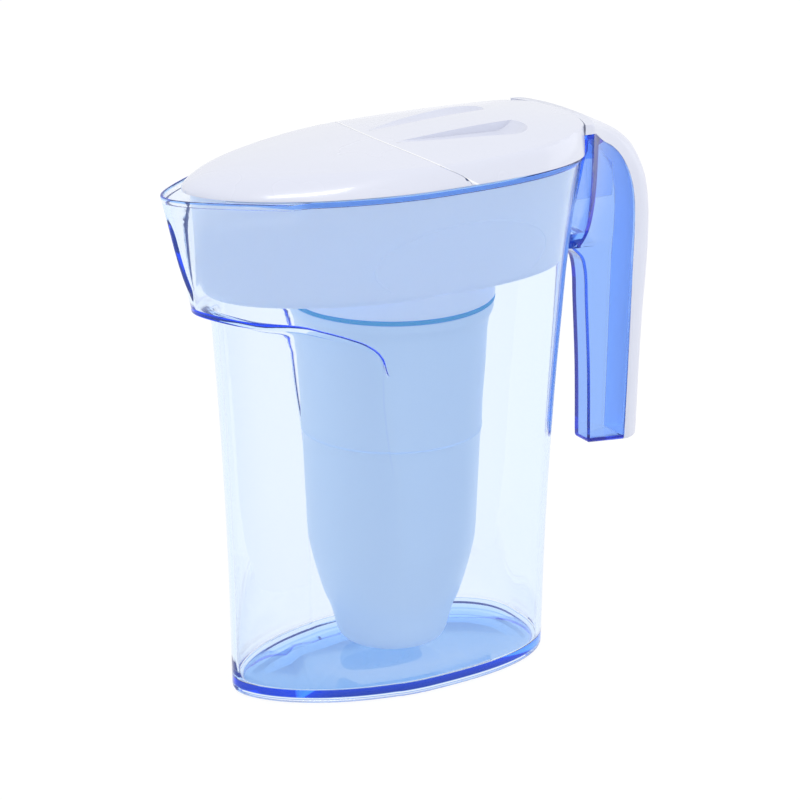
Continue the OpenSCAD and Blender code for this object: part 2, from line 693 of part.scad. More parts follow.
module filter_seal() color(teal) {
    translate([0, 0, 169.5])
        difference() {
            cylinder(h = 2, r = collar_r);
            translate([0, 0, -1])
                cylinder(h = 4, r = filter_r + 0.5);
        }
}

// Sealed stages inside the filter, from the top down.
stage_r = filter_r - filter_wall - 0.4;
module stage(z, height, radius) {
    translate([0, 0, z])
        cylinder(h = height, r = radius);
}
module inlet_screen() color("silver") stage(173.4, 0.8, stage_r);
module foam_distributor() color("gainsboro") stage(162, 11, stage_r);
module carbon_bed() color("dimgray") stage(131, 30.6, stage_r - 1.6);
module resin_bed() color("goldenrod") {
    rotate_extrude()
        polygon([[0, filter_low_z + 5.3], [tip_r - 3.4, filter_low_z + 5.3],
            [tip_r - 1.6, filter_low_z + 8.4], [taper_r - 8.2 - filter_wall, taper_z - 28],
            [taper_r - 3.8 - filter_wall, taper_z - 14], [taper_r - 0.6 - filter_wall, taper_z],
            [weld_r - 0.6 - filter_wall, weld_z], [weld_r + 0.4 - filter_wall, 130.6], [0, 130.6]]);
}
module outlet_membrane() color("white") stage(filter_low_z + 4, 1.2, tip_r - 3.4);
module outlet_screen() color("silver") stage(filter_low_z + 3.1, 0.8, tip_r - 3.4);

pitcher_body();
handle_shell();
handle_cover();
reservoir();
lid_front();
lid_flap();
filter_cap();
filter_housing();
filter_cup();
filter_seal();
inlet_screen();
foam_distributor();
carbon_bed();
resin_bed();
outlet_screen();
outlet_membrane();
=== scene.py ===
"""Water filter pitcher: the dressed model, its materials, stage and camera."""

import math

import bmesh
import bpy
from mathutils import Matrix, Vector


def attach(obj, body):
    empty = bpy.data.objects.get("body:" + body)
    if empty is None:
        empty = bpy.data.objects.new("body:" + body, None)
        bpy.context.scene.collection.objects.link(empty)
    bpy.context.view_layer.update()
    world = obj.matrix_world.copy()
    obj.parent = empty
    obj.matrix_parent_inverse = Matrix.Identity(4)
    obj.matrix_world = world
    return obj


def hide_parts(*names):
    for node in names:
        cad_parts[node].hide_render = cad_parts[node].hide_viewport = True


bl_info = {
    "name": "Water Filter Pitcher",
    "version": (1, 0, 0),
    "blender": (4, 5, 0),
    "location": "View3D > Sidebar > Pitcher",
    "description": "Builds a clear jug with a handle, a reservoir, a filter cartridge and a flip lid",
    "category": "Object",
}

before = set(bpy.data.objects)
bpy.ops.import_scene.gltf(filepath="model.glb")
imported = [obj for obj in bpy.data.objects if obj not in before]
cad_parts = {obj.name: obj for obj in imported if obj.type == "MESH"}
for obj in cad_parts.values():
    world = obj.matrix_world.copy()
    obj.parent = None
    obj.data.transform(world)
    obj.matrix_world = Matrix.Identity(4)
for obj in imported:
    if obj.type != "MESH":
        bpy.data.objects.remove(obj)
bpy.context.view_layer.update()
MM = 0.001


# ---------------------------------------------------------------- sizes and colours
def length(label, text, default, low, high):
    """A length in millimetres that a user may change."""
    return bpy.props.FloatProperty(name=label, description=text, default=default, min=low, max=high)


def strength(label, text, default, high):
    """A strength that a user may change, from nothing up."""
    return bpy.props.FloatProperty(name=label, description=text, default=default, min=0, max=high)


def colour(label, text, default):
    """A linear colour that a user may change."""
    return bpy.props.FloatVectorProperty(
        name=label, description=text, default=default, size=3, min=0, max=1, subtype="COLOR"
    )


class PitcherSizes(bpy.types.PropertyGroup):
    """Sizes of the jug and its parts, in millimetres."""

    rim_z: length("Rim height", "Height of the jug's rim", 227.2, 220, 235)
    wall: length("Jug wall", "Thickness of the jug's wall", 2.2, 1.5, 3)
    floor: length("Jug floor", "Thickness of the jug's floor", 3.6, 2, 6)
    foot: length("Foot height", "Height of the foot ring under the floor", 2.2, 1, 4)
    bead: length("Rim bead", "How far the rim's bead stands out", 0.35, 0, 1)
    handle_wall: length("Handle wall", "Thickness of the handle's walls", 2.2, 1.5, 3)
    lid_skin: length("Lid skin", "Thickness of the lid's skin", 1.6, 1, 2.4)
    lid_gap: length("Lid gap", "Gap between the lid's halves", 0.15, 0.1, 1)
    oval_line: length("Oval line", "Radius of the oval's raised line", 0.5, 0.2, 1)


class PitcherLooks(bpy.types.PropertyGroup):
    """Colours and strengths of the materials and the light."""

    tint: colour("Jug tint", "What a thick piece of the clear plastic lets through", (0.0, 0.55, 0.99))
    tint_density: strength(
        "Jug tint strength", "How fast the clear plastic takes the light away", 38, 400)
    # Painted glow: the jug's and the handle's plastic give off light of their own, which brightens their
    # edges.
    tint_glow: strength(
        "Jug edge glow", "Strength of the painted glow in the jug's plastic", 13, 60)
    glow: colour("Edge glow", "Colour of the painted glow in the blue plastics", (0.0, 0.1, 0.8))
    # Painted shade: a deeper blue painted along the rim and on the saddle.
    rim_shade_tint: colour("Rim painted shade", "Painted shade along the jug's rim", (0.36, 0.6, 1.0))
    # Painted shadow: a deeper blue under the jug's floor stands in for the filter's shadow there.
    floor_shadow_tint: colour("Floor painted shadow", "Painted shadow on the jug's floor seen from above", (0.07, 0.25, 0.72))
    handle_tint: colour("Handle tint", "What a thick piece of the handle lets through", (0.0, 0.42, 0.95))
    handle_density: strength(
        "Handle tint strength", "How fast the handle's plastic takes the light away", 255, 900)
    # Painted glow in the handle's plastic.
    handle_glow: strength(
        "Handle edge glow", "Strength of the painted glow in the handle's plastic", 12, 60)
    lid_white: colour("Lid white", "Colour of the lid and the handle's cover", (0.72, 0.745, 0.86))
    # Painted light: the cover's inside faces are a glowing pale blue, standing in for light that comes
    # through the blue shell.
    cover_inside_light: colour("Cover inside", "Painted light on the cover inside the handle", (0.46, 0.66, 0.95))
    reservoir_blue: colour("Reservoir", "Colour of the milky reservoir", (0.70, 0.79, 0.96))
    filter_blue: colour("Filter", "Colour of the filter's shell", (0.55, 0.73, 0.96))
    seal_teal: colour("Seal", "Colour of the filter's rubber ring", (0.04, 0.38, 0.72))
    world_light: strength("World light", "Strength of the light from all around", 0.93, 3)
    key_light: strength("Key light", "Power of the strip light overhead in watts", 1.7, 100)
    side_light: strength(
        "Side light", "Power of the soft light beside the handle in watts", 1.4, 100)


def sizes():
    return bpy.context.scene.pitcher_sizes


def looks():
    return bpy.context.scene.pitcher_looks


# ---------------------------------------------------------------- small maths
def lookup(x, table):
    """Value of a table of (place, value) pairs at x, straight between its places."""
    if x <= table[0][0]:
        return table[0][1]
    for (x0, v0), (x1, v1) in zip(table, table[1:]):
        if x <= x1:
            return v0 + (v1 - v0) * (x - x0) / (x1 - x0)
    return table[-1][1]


def smooth_lookup(x, table):
    """As lookup, with a smooth curve through the places."""
    if x <= table[0][0]:
        return table[0][1]
    if x >= table[-1][0]:
        return table[-1][1]
    i = max(j for j in range(len(table) - 1) if table[j][0] <= x)
    (x0, v0), (x1, v1) = table[i], table[i + 1]
    before = table[i - 1] if i > 0 else (2 * x0 - x1, 2 * v0 - v1)
    after = table[i + 2] if i + 2 < len(table) else (2 * x1 - x0, 2 * v1 - v0)
    step = x1 - x0
    m0 = (v1 - before[1]) / (x1 - before[0]) * step
    m1 = (after[1] - v0) / (after[0] - x0) * step
    t = (x - x0) / step
    return (
        (2 * t**3 - 3 * t**2 + 1) * v0 + (t**3 - 2 * t**2 + t) * m0
        + (3 * t**2 - 2 * t**3) * v1 + (t**3 - t**2) * m1
    )


def smoothstep(low, high, x):
    t = min(1, max(0, (x - low) / (high - low)))
    return t * t * (3 - 2 * t)


def spow(base, power):
    return -((-base) ** power) if base < 0 else base**power


def spread(low, high, count, power=1.0):
    """count + 1 places from low to high; a power over 1 crowds them at low."""
    return [low + (high - low) * (i / count) ** power for i in range(count + 1)]


# ---------------------------------------------------------------- the jug's curves, in millimetres
PLAN_X0 = -4
RIM_HALF_W = 49.5
FOOT_HALF_W = 43
FOOT_FRONT_X = -78.6
FOOT_REAR_X = 70.7
RIM_FRONT_X = -97.6
RIM_REAR_X = 88.5
LEDGE_Z = 176
BEAK_BASE_Z = 181
BEAK_TIP_X = -107.2
BEAK_NOSE_R, BEAK_LIP_R = 4.2, 22
BEAK_BLUNT_Z = 211
BEAK_SLOPE = 1.55
FOOT_ROUND, FOOT_IN = 2.4, 2.2


def plan_point(angle, front_x, front_n, rear_x, rear_n, half_w):
    """Point of a plan curve whose two ends have their own length and power."""
    c, s = math.cos(math.radians(angle)), math.sin(math.radians(angle))
    power = 2 / (front_n if c < 0 else rear_n)
    reach = PLAN_X0 - front_x if c < 0 else rear_x - PLAN_X0
    return PLAN_X0 + reach * spow(c, power), half_w * spow(s, power)


def front_n(z):
    """Power of the plan curve in front; a power over 2 is squarer than an ellipse."""
    return 1.71 + 0.1 * z / sizes().rim_z


def rear_n(z):
    return 2.69 - 0.1 * z / sizes().rim_z


def side_w(z):
    """Half width of the jug at a height."""
    return FOOT_HALF_W + (RIM_HALF_W - FOOT_HALF_W) * (max(0, z) / sizes().rim_z) ** 1.35


def rear_x(z):
    """The jug's rear end along X at a height."""
    return smooth_lookup(z, [
        (0, FOOT_REAR_X), (60, FOOT_REAR_X + 1.5), (120, FOOT_REAR_X + 4.8), (160, FOOT_REAR_X + 8),
        (180, FOOT_REAR_X + 9.8), (205, FOOT_REAR_X + 13.3), (sizes().rim_z, RIM_REAR_X)])


def recess_x(z):
    """The front end of the recessed part below the ledge."""
    return smooth_lookup(z, [
        (0, FOOT_FRONT_X), (60, FOOT_FRONT_X - 0.7), (120, FOOT_FRONT_X - 2.9),
        (LEDGE_Z, FOOT_FRONT_X - 6.2)])


def full_x(z):
    """The front end that the jug has without its recess."""
    return smooth_lookup(z, [
        (0, FOOT_FRONT_X - 2), (120, FOOT_FRONT_X - 12), (LEDGE_Z, FOOT_FRONT_X - 15.2),
        (LEDGE_Z + 8, FOOT_FRONT_X - 16.8), (sizes().rim_z, RIM_FRONT_X)])


def foot_in(z):
    """How far the wall curves in towards the foot."""
    return FOOT_IN * (1 - math.sqrt(1 - (1 - z / FOOT_ROUND) ** 2)) if z < FOOT_ROUND else 0


def beak_x(z):
    """The beak's own front end at a height."""
    base = full_x(BEAK_BASE_Z) + 1.8
    return base + (BEAK_TIP_X - base) * ((z - BEAK_BASE_Z) / (sizes().rim_z - BEAK_BASE_Z)) ** 0.63


def ledge_edge_z(x):
    """Lower edge of the band over the recessed front."""
    return smooth_lookup(x, [
        (-97, 176), (-90, 175), (-81, 173.5), (-64, 172), (-54.5, 169.3), (-43, 165.2), (-35, 161.3),
        (-29, 155.5), (-26.6, 148), (-24, 146)])


def ledge_corner_z(x):
    """Inner corner where the ledge's underside meets the recessed front."""
    return smooth_lookup(x, [
        (-97, 171.5), (-86, 170.5), (-68.5, 162), (-52.7, 153), (-40.5, 146.5), (-33, 142), (-26.6, 139.5),
        (-24, 139)])


def fold_x(z):
    """Where the recessed front folds into the jug's side."""
    return smooth_lookup(z, [
        (0, -19), (19, -19), (45, -19.3), (79, -20), (103, -22), (118, -24.5), (140, -26.8), (160, -27)])


# Columns run round the jug: rear 0, side, both edges of the fold, front 1.
COLUMNS = 240
H_SIDE, H_FOLD_OUT, H_FOLD_IN = 54 / 120, 64 / 120, 70 / 120
FOLD_HALF = 1.7


def angle_at(x, front_x, power):
    """Angle of the plan curve's point at a place along X in its front half."""
    return math.degrees(math.acos(-(((PLAN_X0 - x) / (PLAN_X0 - front_x)) ** (power / 2))))


def column_angle(h, z, front_x):
    """Angle of a column, so that the same columns stay on the fold at every height."""
    if h <= H_SIDE:
        return 90 * h / H_SIDE
    fold_out = angle_at(fold_x(z) + FOLD_HALF, front_x, front_n(z))
    fold_in = angle_at(fold_x(z) - FOLD_HALF, front_x, front_n(z))
    if h <= H_FOLD_OUT:
        return 90 + (fold_out - 90) * (h - H_SIDE) / (H_FOLD_OUT - H_SIDE)
    if h <= H_FOLD_IN:
        return fold_out + (fold_in - fold_out) * (h - H_FOLD_OUT) / (H_FOLD_IN - H_FOLD_OUT)
    return fold_in + (180 - fold_in) * (h - H_FOLD_IN) / (1 - H_FOLD_IN)


def half_turn(u):
    """(0 at the rear to 1 at the front, side) of a place u once round."""
    return (2 * u, 1) if u <= 0.5 else (2 - 2 * u, -1)


def fold_depth(z):
    """How far the recessed side stands in from the jug's side, beyond what the plan curves give."""
    return 1.6 * smoothstep(12, 150, z) + 0.3


def wall_point(u, z, recessed=False, inset=0.0):
    """Point of the jug's wall: on the full shape, or recessed in front of the fold."""
    h, side = half_turn(u)
    back = inset + foot_in(z)

    def on_plan(front):
        angle = column_angle(h, z, front)
        return plan_point(angle, front + back, front_n(z), rear_x(z) - back, rear_n(z), side_w(z) - back)

    x, y = on_plan(full_x(z))
    if recessed and h > H_FOLD_OUT:
        share = smoothstep(H_FOLD_OUT, H_FOLD_IN, h)
        deep_x, deep_y = on_plan(recess_x(z))
        deep_y -= fold_depth(z) * (1 - smoothstep(0, 0.35, (h - H_FOLD_IN) / (1 - H_FOLD_IN)))
        x, y = x + (deep_x - x) * share, y + (deep_y - y) * share
    return Vector((x, y * side, z))


def beaked(point, inset=0.0):
    """The point, drawn forward onto the beak where that stands further out."""
    if point.z < BEAK_BASE_Z or point.x > -60:
        return point
    blunt = BEAK_NOSE_R + (BEAK_LIP_R - BEAK_NOSE_R) * smoothstep(BEAK_BLUNT_Z, sizes().rim_z, point.z)
    nose = math.sqrt(blunt**2 + (BEAK_SLOPE * point.y) ** 2) - blunt
    return Vector((min(point.x, beak_x(point.z) + inset * 1.25 + nose), point.y, point.z))


def column_x(u):
    """Where a column stands along X at the ledge's height."""
    return wall_point(u, LEDGE_Z - 12).x


# ---------------------------------------------------------------- bmesh helpers
def put_in_scene(name, data):
    made = bpy.data.objects.new(name, data)
    bpy.context.scene.collection.objects.link(made)
    return made


def finish_mesh(bm, name, sharp=30):
    """Closes a bmesh into an object in metres, faces outwards and shaded smooth up to an angle."""
    bmesh.ops.remove_doubles(bm, verts=bm.verts, dist=1e-4)
    bmesh.ops.dissolve_degenerate(bm, edges=bm.edges, dist=1e-5)
    bmesh.ops.delete(bm, geom=[edge for edge in bm.edges if edge.is_wire], context="EDGES")
    bmesh.ops.recalc_face_normals(bm, faces=bm.faces)
    if bm.calc_volume(signed=True) < 0:
        bmesh.ops.reverse_faces(bm, faces=bm.faces)
    bmesh.ops.scale(bm, vec=(MM, MM, MM), verts=bm.verts)
    mesh = bpy.data.meshes.new(name)
    bm.to_mesh(mesh)
    bm.free()
    shade(mesh, sharp)
    return put_in_scene(name, mesh)


def shade(mesh, sharp):
    mesh.polygons.foreach_set("use_smooth", [True] * len(mesh.polygons))
    mesh.set_sharp_from_angle(angle=math.radians(sharp))


def add_skin(bm, rows, columns, caps=True):
    """A closed skin: one row of points after another, each a function of the place round."""
    grid = bmesh.ops.create_grid(bm, x_segments=columns, y_segments=len(rows) - 1, size=0.5)
    for vert in grid["verts"]:
        row = rows[round((vert.co.y + 0.5) * (len(rows) - 1))]
        vert.co = row((round((vert.co.x + 0.5) * columns) % columns) / columns)
    bmesh.ops.remove_doubles(bm, verts=grid["verts"], dist=1e-5)
    if caps:
        bmesh.ops.holes_fill(bm, edges=[edge for edge in bm.edges if edge.is_boundary], sides=0)


def skin(name, rows, columns, sharp=30):
    bm = bmesh.new()
    add_skin(bm, rows, columns)
    return finish_mesh(bm, name, sharp)


def add_lathe(bm, profile, steps):
    """Spins a closed (radius, height) outline round the upright axis."""
    verts = [bm.verts.new((r, 0, z)) for r, z in profile]
    edges = [bm.edges.new((a, b)) for a, b in zip(verts, verts[1:] + verts[:1])]
    bmesh.ops.spin(bm, geom=verts + edges, cent=(0, 0, 0), axis=(0, 0, 1),
                   angle=2 * math.pi, steps=steps, use_merge=True)
    bmesh.ops.remove_doubles(bm, verts=bm.verts, dist=1e-4)


def lathe(name, profile, steps=128):
    bm = bmesh.new()
    add_lathe(bm, profile, steps)
    return finish_mesh(bm, name, 32)


def prism(name, outline, low, high, axis="Z"):
    """A flat outline drawn out between two heights, or across the jug where axis is Y."""
    bm = bmesh.new()
    place = (lambda a, b, c: (a, b, c)) if axis == "Z" else (lambda a, b, c: (a, c, b))
    verts = [bm.verts.new(place(a, b, low)) for a, b in outline]
    face = bm.faces.new(verts)
    drawn = bmesh.ops.extrude_face_region(bm, geom=[face])["geom"]
    moved = [item for item in drawn if isinstance(item, bmesh.types.BMVert)]
    bmesh.ops.translate(bm, verts=moved, vec=Vector(place(0, 0, high - low)))
    return finish_mesh(bm, name)


def mend(mesh):
    """Welds the hairline slivers that a cut leaves and closes pinholes."""
    bm = bmesh.new()
    bm.from_mesh(mesh)
    bmesh.ops.remove_doubles(bm, verts=bm.verts, dist=2e-6)
    bmesh.ops.dissolve_degenerate(bm, edges=bm.edges, dist=1e-6)
    bmesh.ops.delete(bm, geom=[edge for edge in bm.edges if edge.is_wire], context="EDGES")
    bmesh.ops.holes_fill(bm, edges=[edge for edge in bm.edges if edge.is_boundary], sides=12)
    bm.to_mesh(mesh)
    bm.free()


def carve(target, tool, operation="DIFFERENCE", sharp=30):
    """Cuts, joins or trims target with a closed tool, and puts the tool away."""
    boolean = target.modifiers.new("carve", "BOOLEAN")
    boolean.object, boolean.operation, boolean.solver = tool, operation, "EXACT"
    bpy.context.view_layer.update()
    graph = bpy.context.evaluated_depsgraph_get()
    made = bpy.data.meshes.new_from_object(target.evaluated_get(graph))
    if not made.polygons:
        raise RuntimeError(f"{operation} left nothing of {target.name}")
    target.modifiers.clear()
    target.data = made
    mend(made)
    shade(made, sharp)
    bpy.data.objects.remove(tool)
    return target


def declare(piece, body, slot, *nodes, finish):
    """Gives a finished piece its material and body, and hides the CAD nodes it stands for; slot is not used.
    """
    piece.data.materials.clear()
    piece.data.materials.append(finish)
    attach(piece, body)
    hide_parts(*nodes)


# ---------------------------------------------------------------- materials
class Sock:
    """A node socket or a number that can be written in sums."""

    def __init__(self, maker, value):
        self.maker, self.value = maker, value

    def _with(self, operation, *others):
        return self.maker.node("ShaderNodeMath", {"operation": operation}, self, *others)

    def __add__(self, other):
        return self._with("ADD", other)

    def __sub__(self, other):
        return self._with("SUBTRACT", other)

    def __rsub__(self, other):
        return self.maker.node("ShaderNodeMath", {"operation": "SUBTRACT"}, other, self)

    def __mul__(self, other):
        return self._with("MULTIPLY", other)

    __radd__, __rmul__ = __add__, __mul__

    def either(self, other):
        """The larger of two masks."""
        return self._with("MAXIMUM", other)

    def above(self, low, high):
        """0 under low, 1 over high, and a straight slope between them."""
        return self.maker.node("ShaderNodeMapRange", {"clamp": True}, self, low, high, 0.0, 1.0)


class Finish:
    """Builds one material from Python expressions."""

    def __init__(self, name, **surface):
        self.material = bpy.data.materials.new(name)
        self.material.use_nodes = True
        self.tree = self.material.node_tree
        self.tree.nodes.clear()
        self.output = self.tree.nodes.new("ShaderNodeOutputMaterial")
        self.shader = self.tree.nodes.new("ShaderNodeBsdfPrincipled")
        self.tree.links.new(self.shader.outputs[0], self.output.inputs["Surface"])
        self.place = self.node("ShaderNodeTexCoord", {}, out="Object")
        self.set(**surface)

    def node(self, kind, settings, *values, out=0, at=None, **named):
        """Adds a node: its settings first, then its sockets in order, by number or by name."""
        made = self.tree.nodes.new(kind)
        for key, value in settings.items():
            setattr(made, key, value)
        for key, value in {**dict(enumerate(values)), **(at or {}), **named}.items():
            self.feed(made.inputs[key], value)
        return Sock(self, made.outputs[out])

    def feed(self, socket, value):
        if isinstance(value, Sock):
            value = value.value
        if isinstance(value, bpy.types.NodeSocket):
            self.tree.links.new(value, socket)
        elif hasattr(value, "__len__") and len(value) == 3 and socket.type == "RGBA":
            socket.default_value = (*value, 1)
        else:
            socket.default_value = value

    def set(self, **surface):
        for key, value in surface.items():
            self.feed(self.shader.inputs[key.replace("_", " ")], value)
        return self

    def noise(self, scale, detail):
        return self.node("ShaderNodeTexNoise", {}, self.place, Scale=scale, Detail=detail)

    def place_part(self, axis):
        """One coordinate in millimetres."""
        return self.node("ShaderNodeSeparateXYZ", {}, self.place, out=axis) * 1000

    def cells(self, scale):
        return self.node("ShaderNodeTexVoronoi", {}, self.place, Scale=scale)

    def mix(self, share, low, high):
        """A colour between two colours."""
        return self.node("ShaderNodeMix", {"data_type": "RGBA"}, share, out=2, at={6: low, 7: high})

    def bump(self, height, strength, distance):
        """Raises the surface by a height; the distance is in millimetres."""
        self.set(Normal=self.node("ShaderNodeBump", {}, Strength=strength, Distance=distance * MM,
                                  Height=height))
        return self

    def fill(self, tint, density, glow, strength):
        """Fills the inside with a tint that takes light away along its path, and a faint painted glow: light
        given off inside the plastic, which no lamp casts.
        """
        inside = self.node("ShaderNodeVolumeAbsorption", {}, Color=tint, Density=density)
        painted_glow = self.node("ShaderNodeEmission", {}, Color=glow, Strength=strength)
        self.feed(self.output.inputs["Volume"], self.node("ShaderNodeAddShader", {}, inside, painted_glow))


UNDERSIDE_FROM, UNDERSIDE_TO = 1.9, 2.5
MASK_EDGE = 0.2


def clear_finish():
    """The jug's clear plastic, with painted shade: a deeper blue painted along the rim, on the saddle and
    under the floor.
    """
    finish = Finish("clear blue styrene", IOR=1.5, Transmission_Weight=1.0)
    height = finish.place_part("Z")
    # Painted shadow: the floor's underside takes a deeper blue that stands in for the filter's shadow on the
    # jug's floor.
    underside = (height.above(UNDERSIDE_FROM, UNDERSIDE_FROM + MASK_EDGE)
                 * (1 - height.above(UNDERSIDE_TO - MASK_EDGE, UNDERSIDE_TO)))
    along, top = finish.place_part("X"), sizes().rim_z
    # Painted shade: a deeper blue on the rim's top millimetre, reaching lower towards the rear, stands in for
    # the dark blue line the rim shows under the lid's edge.
    rim = (height + along.above(-80, -60) * 1.4).above(top - 1.1, top - 0.8)
    # Painted shade: a deeper blue on the saddle stands in for light that crosses several layers of plastic
    # there.
    saddle = along.above(85, 87) * height.above(TONGUE_Z, TONGUE_Z + 4)
    tone = finish.mix(underside, (1, 1, 1), looks().floor_shadow_tint)
    tone = finish.mix(saddle * 0.6, tone, looks().rim_shade_tint)
    finish.set(Base_Color=finish.mix(rim, tone, looks().rim_shade_tint))
    finish.set(Roughness=finish.noise(9, 2) * 0.02 + 0.004)
    finish.bump(finish.noise(28, 1), 0.12, 0.25)
    finish.fill(looks().tint, looks().tint_density, looks().glow, looks().tint_glow)
    return finish.material


def handle_finish():
    finish = Finish("handle blue styrene", Base_Color=(1, 1, 1), IOR=1.5, Transmission_Weight=1.0)
    finish.set(Roughness=finish.noise(14, 2) * 0.03 + 0.05)
    finish.bump(finish.noise(34, 1), 0.1, 0.25)
    finish.fill(looks().handle_tint, looks().handle_density, looks().glow, looks().handle_glow)
    return finish.material


def moulded_finish(name, tone, gloss, coat=0.0, edge=False, glow=0.0):
    """A solid moulded plastic with a faint flow pattern and a fine grain; glow gives it a painted glow in its
    own tone, standing in for light through its thin wall, and edge paints a near-white highlight along the
    flap's seam.
    """
    finish = Finish(name, IOR=1.5, Coat_Roughness=0.07, Emission_Color=tone, Emission_Strength=glow)
    flow = finish.noise(16, 3)
    paler = tuple(min(1, part * 1.02 + 0.004) for part in tone)
    deeper = tuple(part * 0.975 for part in tone)
    body = finish.mix(flow, deeper, paler)
    # Painted highlight: a near-white line along the flap's seam.
    if edge:
        body = finish.mix(seam_highlight_mask(finish), body, (0.98, 0.98, 1))
    finish.set(Base_Color=body, Roughness=flow * 0.06 + gloss, Coat_Weight=coat)
    return finish.bump(finish.noise(900, 2), 0.05, 0.1).material


def seam_highlight_mask(finish):
    """1 on a narrow painted highlight along the flap's seam, where its edge would catch the light, and 0
    elsewhere.
    """
    x, y, z = (finish.place_part(axis) for axis in "XYZ")
    (top_x, top_z), (low_x, low_z) = SEAM_SIDE[2], SEAM_SIDE[5]
    lean = (low_x - top_x) / (top_z - low_z)
    behind = x - SEAM_START - y * y * SEAM_SWEEP
    down = x + z * lean - (top_x + top_z * lean)
    below = 1 - z.above(top_z - MASK_EDGE, top_z + MASK_EDGE)
    nearest = behind * (1 - below) + down * below
    return (nearest + SEAM_HIGHLIGHT_BAND).above(0, 0.1) * (1 - nearest.above(SEAM_HIGHLIGHT_BAND * 0.6, SEAM_HIGHLIGHT_BAND))


def milky_finish():
    """The reservoir's milky plastic, which lets a little light through its wall, with a painted glow that
    brightens it.
    """
    # Painted glow: the reservoir gives off light of its own, standing in for light that reaches it through
    # the jug.
    finish = Finish("milky blue styrene", IOR=1.5, Subsurface_Weight=0.25, Subsurface_Scale=0.004,
                    Subsurface_Radius=(0.6, 0.8, 1.0), Emission_Color=(0.54, 0.7, 1.0),
                    Emission_Strength=0.24)
    flow = finish.noise(11, 3)
    tone = tuple(looks().reservoir_blue)
    finish.set(Base_Color=finish.mix(flow, tuple(part * 0.985 for part in tone), tone),
               Roughness=flow * 0.08 + 0.32)
    return finish.bump(finish.noise(700, 2), 0.06, 0.1).material


def rubber_finish():
    # Painted glow: the seal gives off a little teal light of its own.
    finish = Finish("teal rubber", Roughness=0.55, IOR=1.45, Emission_Color=(0.01, 0.3, 0.7),
                    Emission_Strength=0.2)
    speck = finish.noise(420, 2)
    tone = tuple(looks().seal_teal)
    finish.set(Base_Color=finish.mix(speck, tuple(part * 0.9 for part in tone), tone))
    return finish.bump(speck, 0.15, 0.15).material


def mesh_finish(name, pitch, tone):
    """A woven sheet: two sets of threads over and under."""
    finish = Finish(name, Roughness=0.7)
    warp = finish.node("ShaderNodeTexWave", {"bands_direction": "X"}, finish.place, Scale=1000 / pitch)
    weft = finish.node("ShaderNodeTexWave", {"bands_direction": "Y"}, finish.place, Scale=1000 / pitch)
    weave = warp * 0.5 + weft * 0.5
    finish.set(Base_Color=finish.mix(weave, tuple(part * 0.55 for part in tone), tone))
    return finish.bump(weave, 0.6, 0.3).material


def granule_finish(name, dark, pale, scale, depth, gloss):
    """A packed bed of grains or beads."""
    finish = Finish(name, Roughness=gloss)
    grain = finish.cells(scale)
    dust = finish.noise(scale * 2.5, 3)
    finish.set(Base_Color=finish.mix(dust * 0.6 + grain * 0.8, pale, dark))
    return finish.bump(1 - grain, 0.9, depth).material


# ---------------------------------------------------------------- the jug
LIP_DROP, LIP_IN = 2.6, 1.1
FLOOR_ROUND = 1.2
TONGUE_Z = 178
SADDLE_TOP_Z = 236


def wall_row(z, recessed=False, inset=0.0):
    return lambda u: wall_point(u, z, recessed, inset)


def flat_row(z, inset):
    """A level row of the foot or the floor."""
    def row(u):
        point = wall_point(u, 0, True, inset)
        return Vector((point.x, point.y, z))
    return row


def lower_row(t, inset=0.0, start=FOOT_ROUND, lift=0.0):
    """A row between the foot and the inner corner under the ledge."""
    def row(u):
        z = start + (ledge_corner_z(column_x(u)) + lift - start) * t
        return wall_point(u, z, True, inset)
    return row


def ledge_row(t, inset=0.0):
    """A row on the ledge's underside: up from its inner corner at 0, out to the band's edge at 1."""
    def row(u):
        x = column_x(u)
        low, high = ledge_corner_z(x) + inset / 2, ledge_edge_z(x) + inset
        z = low + (high - low) * (1 - (1 - t) ** 2)
        return wall_point(u, z, True, inset).lerp(wall_point(u, z, False, inset), t * t)
    return row


def band_row(t, inset=0.0, top=0.0):
    """A row of the band between its lower edge and a little under the rim."""
    def row(u):
        edge = ledge_edge_z(column_x(u)) + inset
        z = edge + (sizes().rim_z - top - edge) * t
        stands_out = sizes().bead * smoothstep(205, 224, z) if inset == 0 else 0
        return beaked(wall_point(u, z, False, inset + stands_out), inset)
    return row


def rim_row(drop, inset):
    z = sizes().rim_z - drop
    return lambda u: beaked(wall_point(u, z, False, inset), inset)


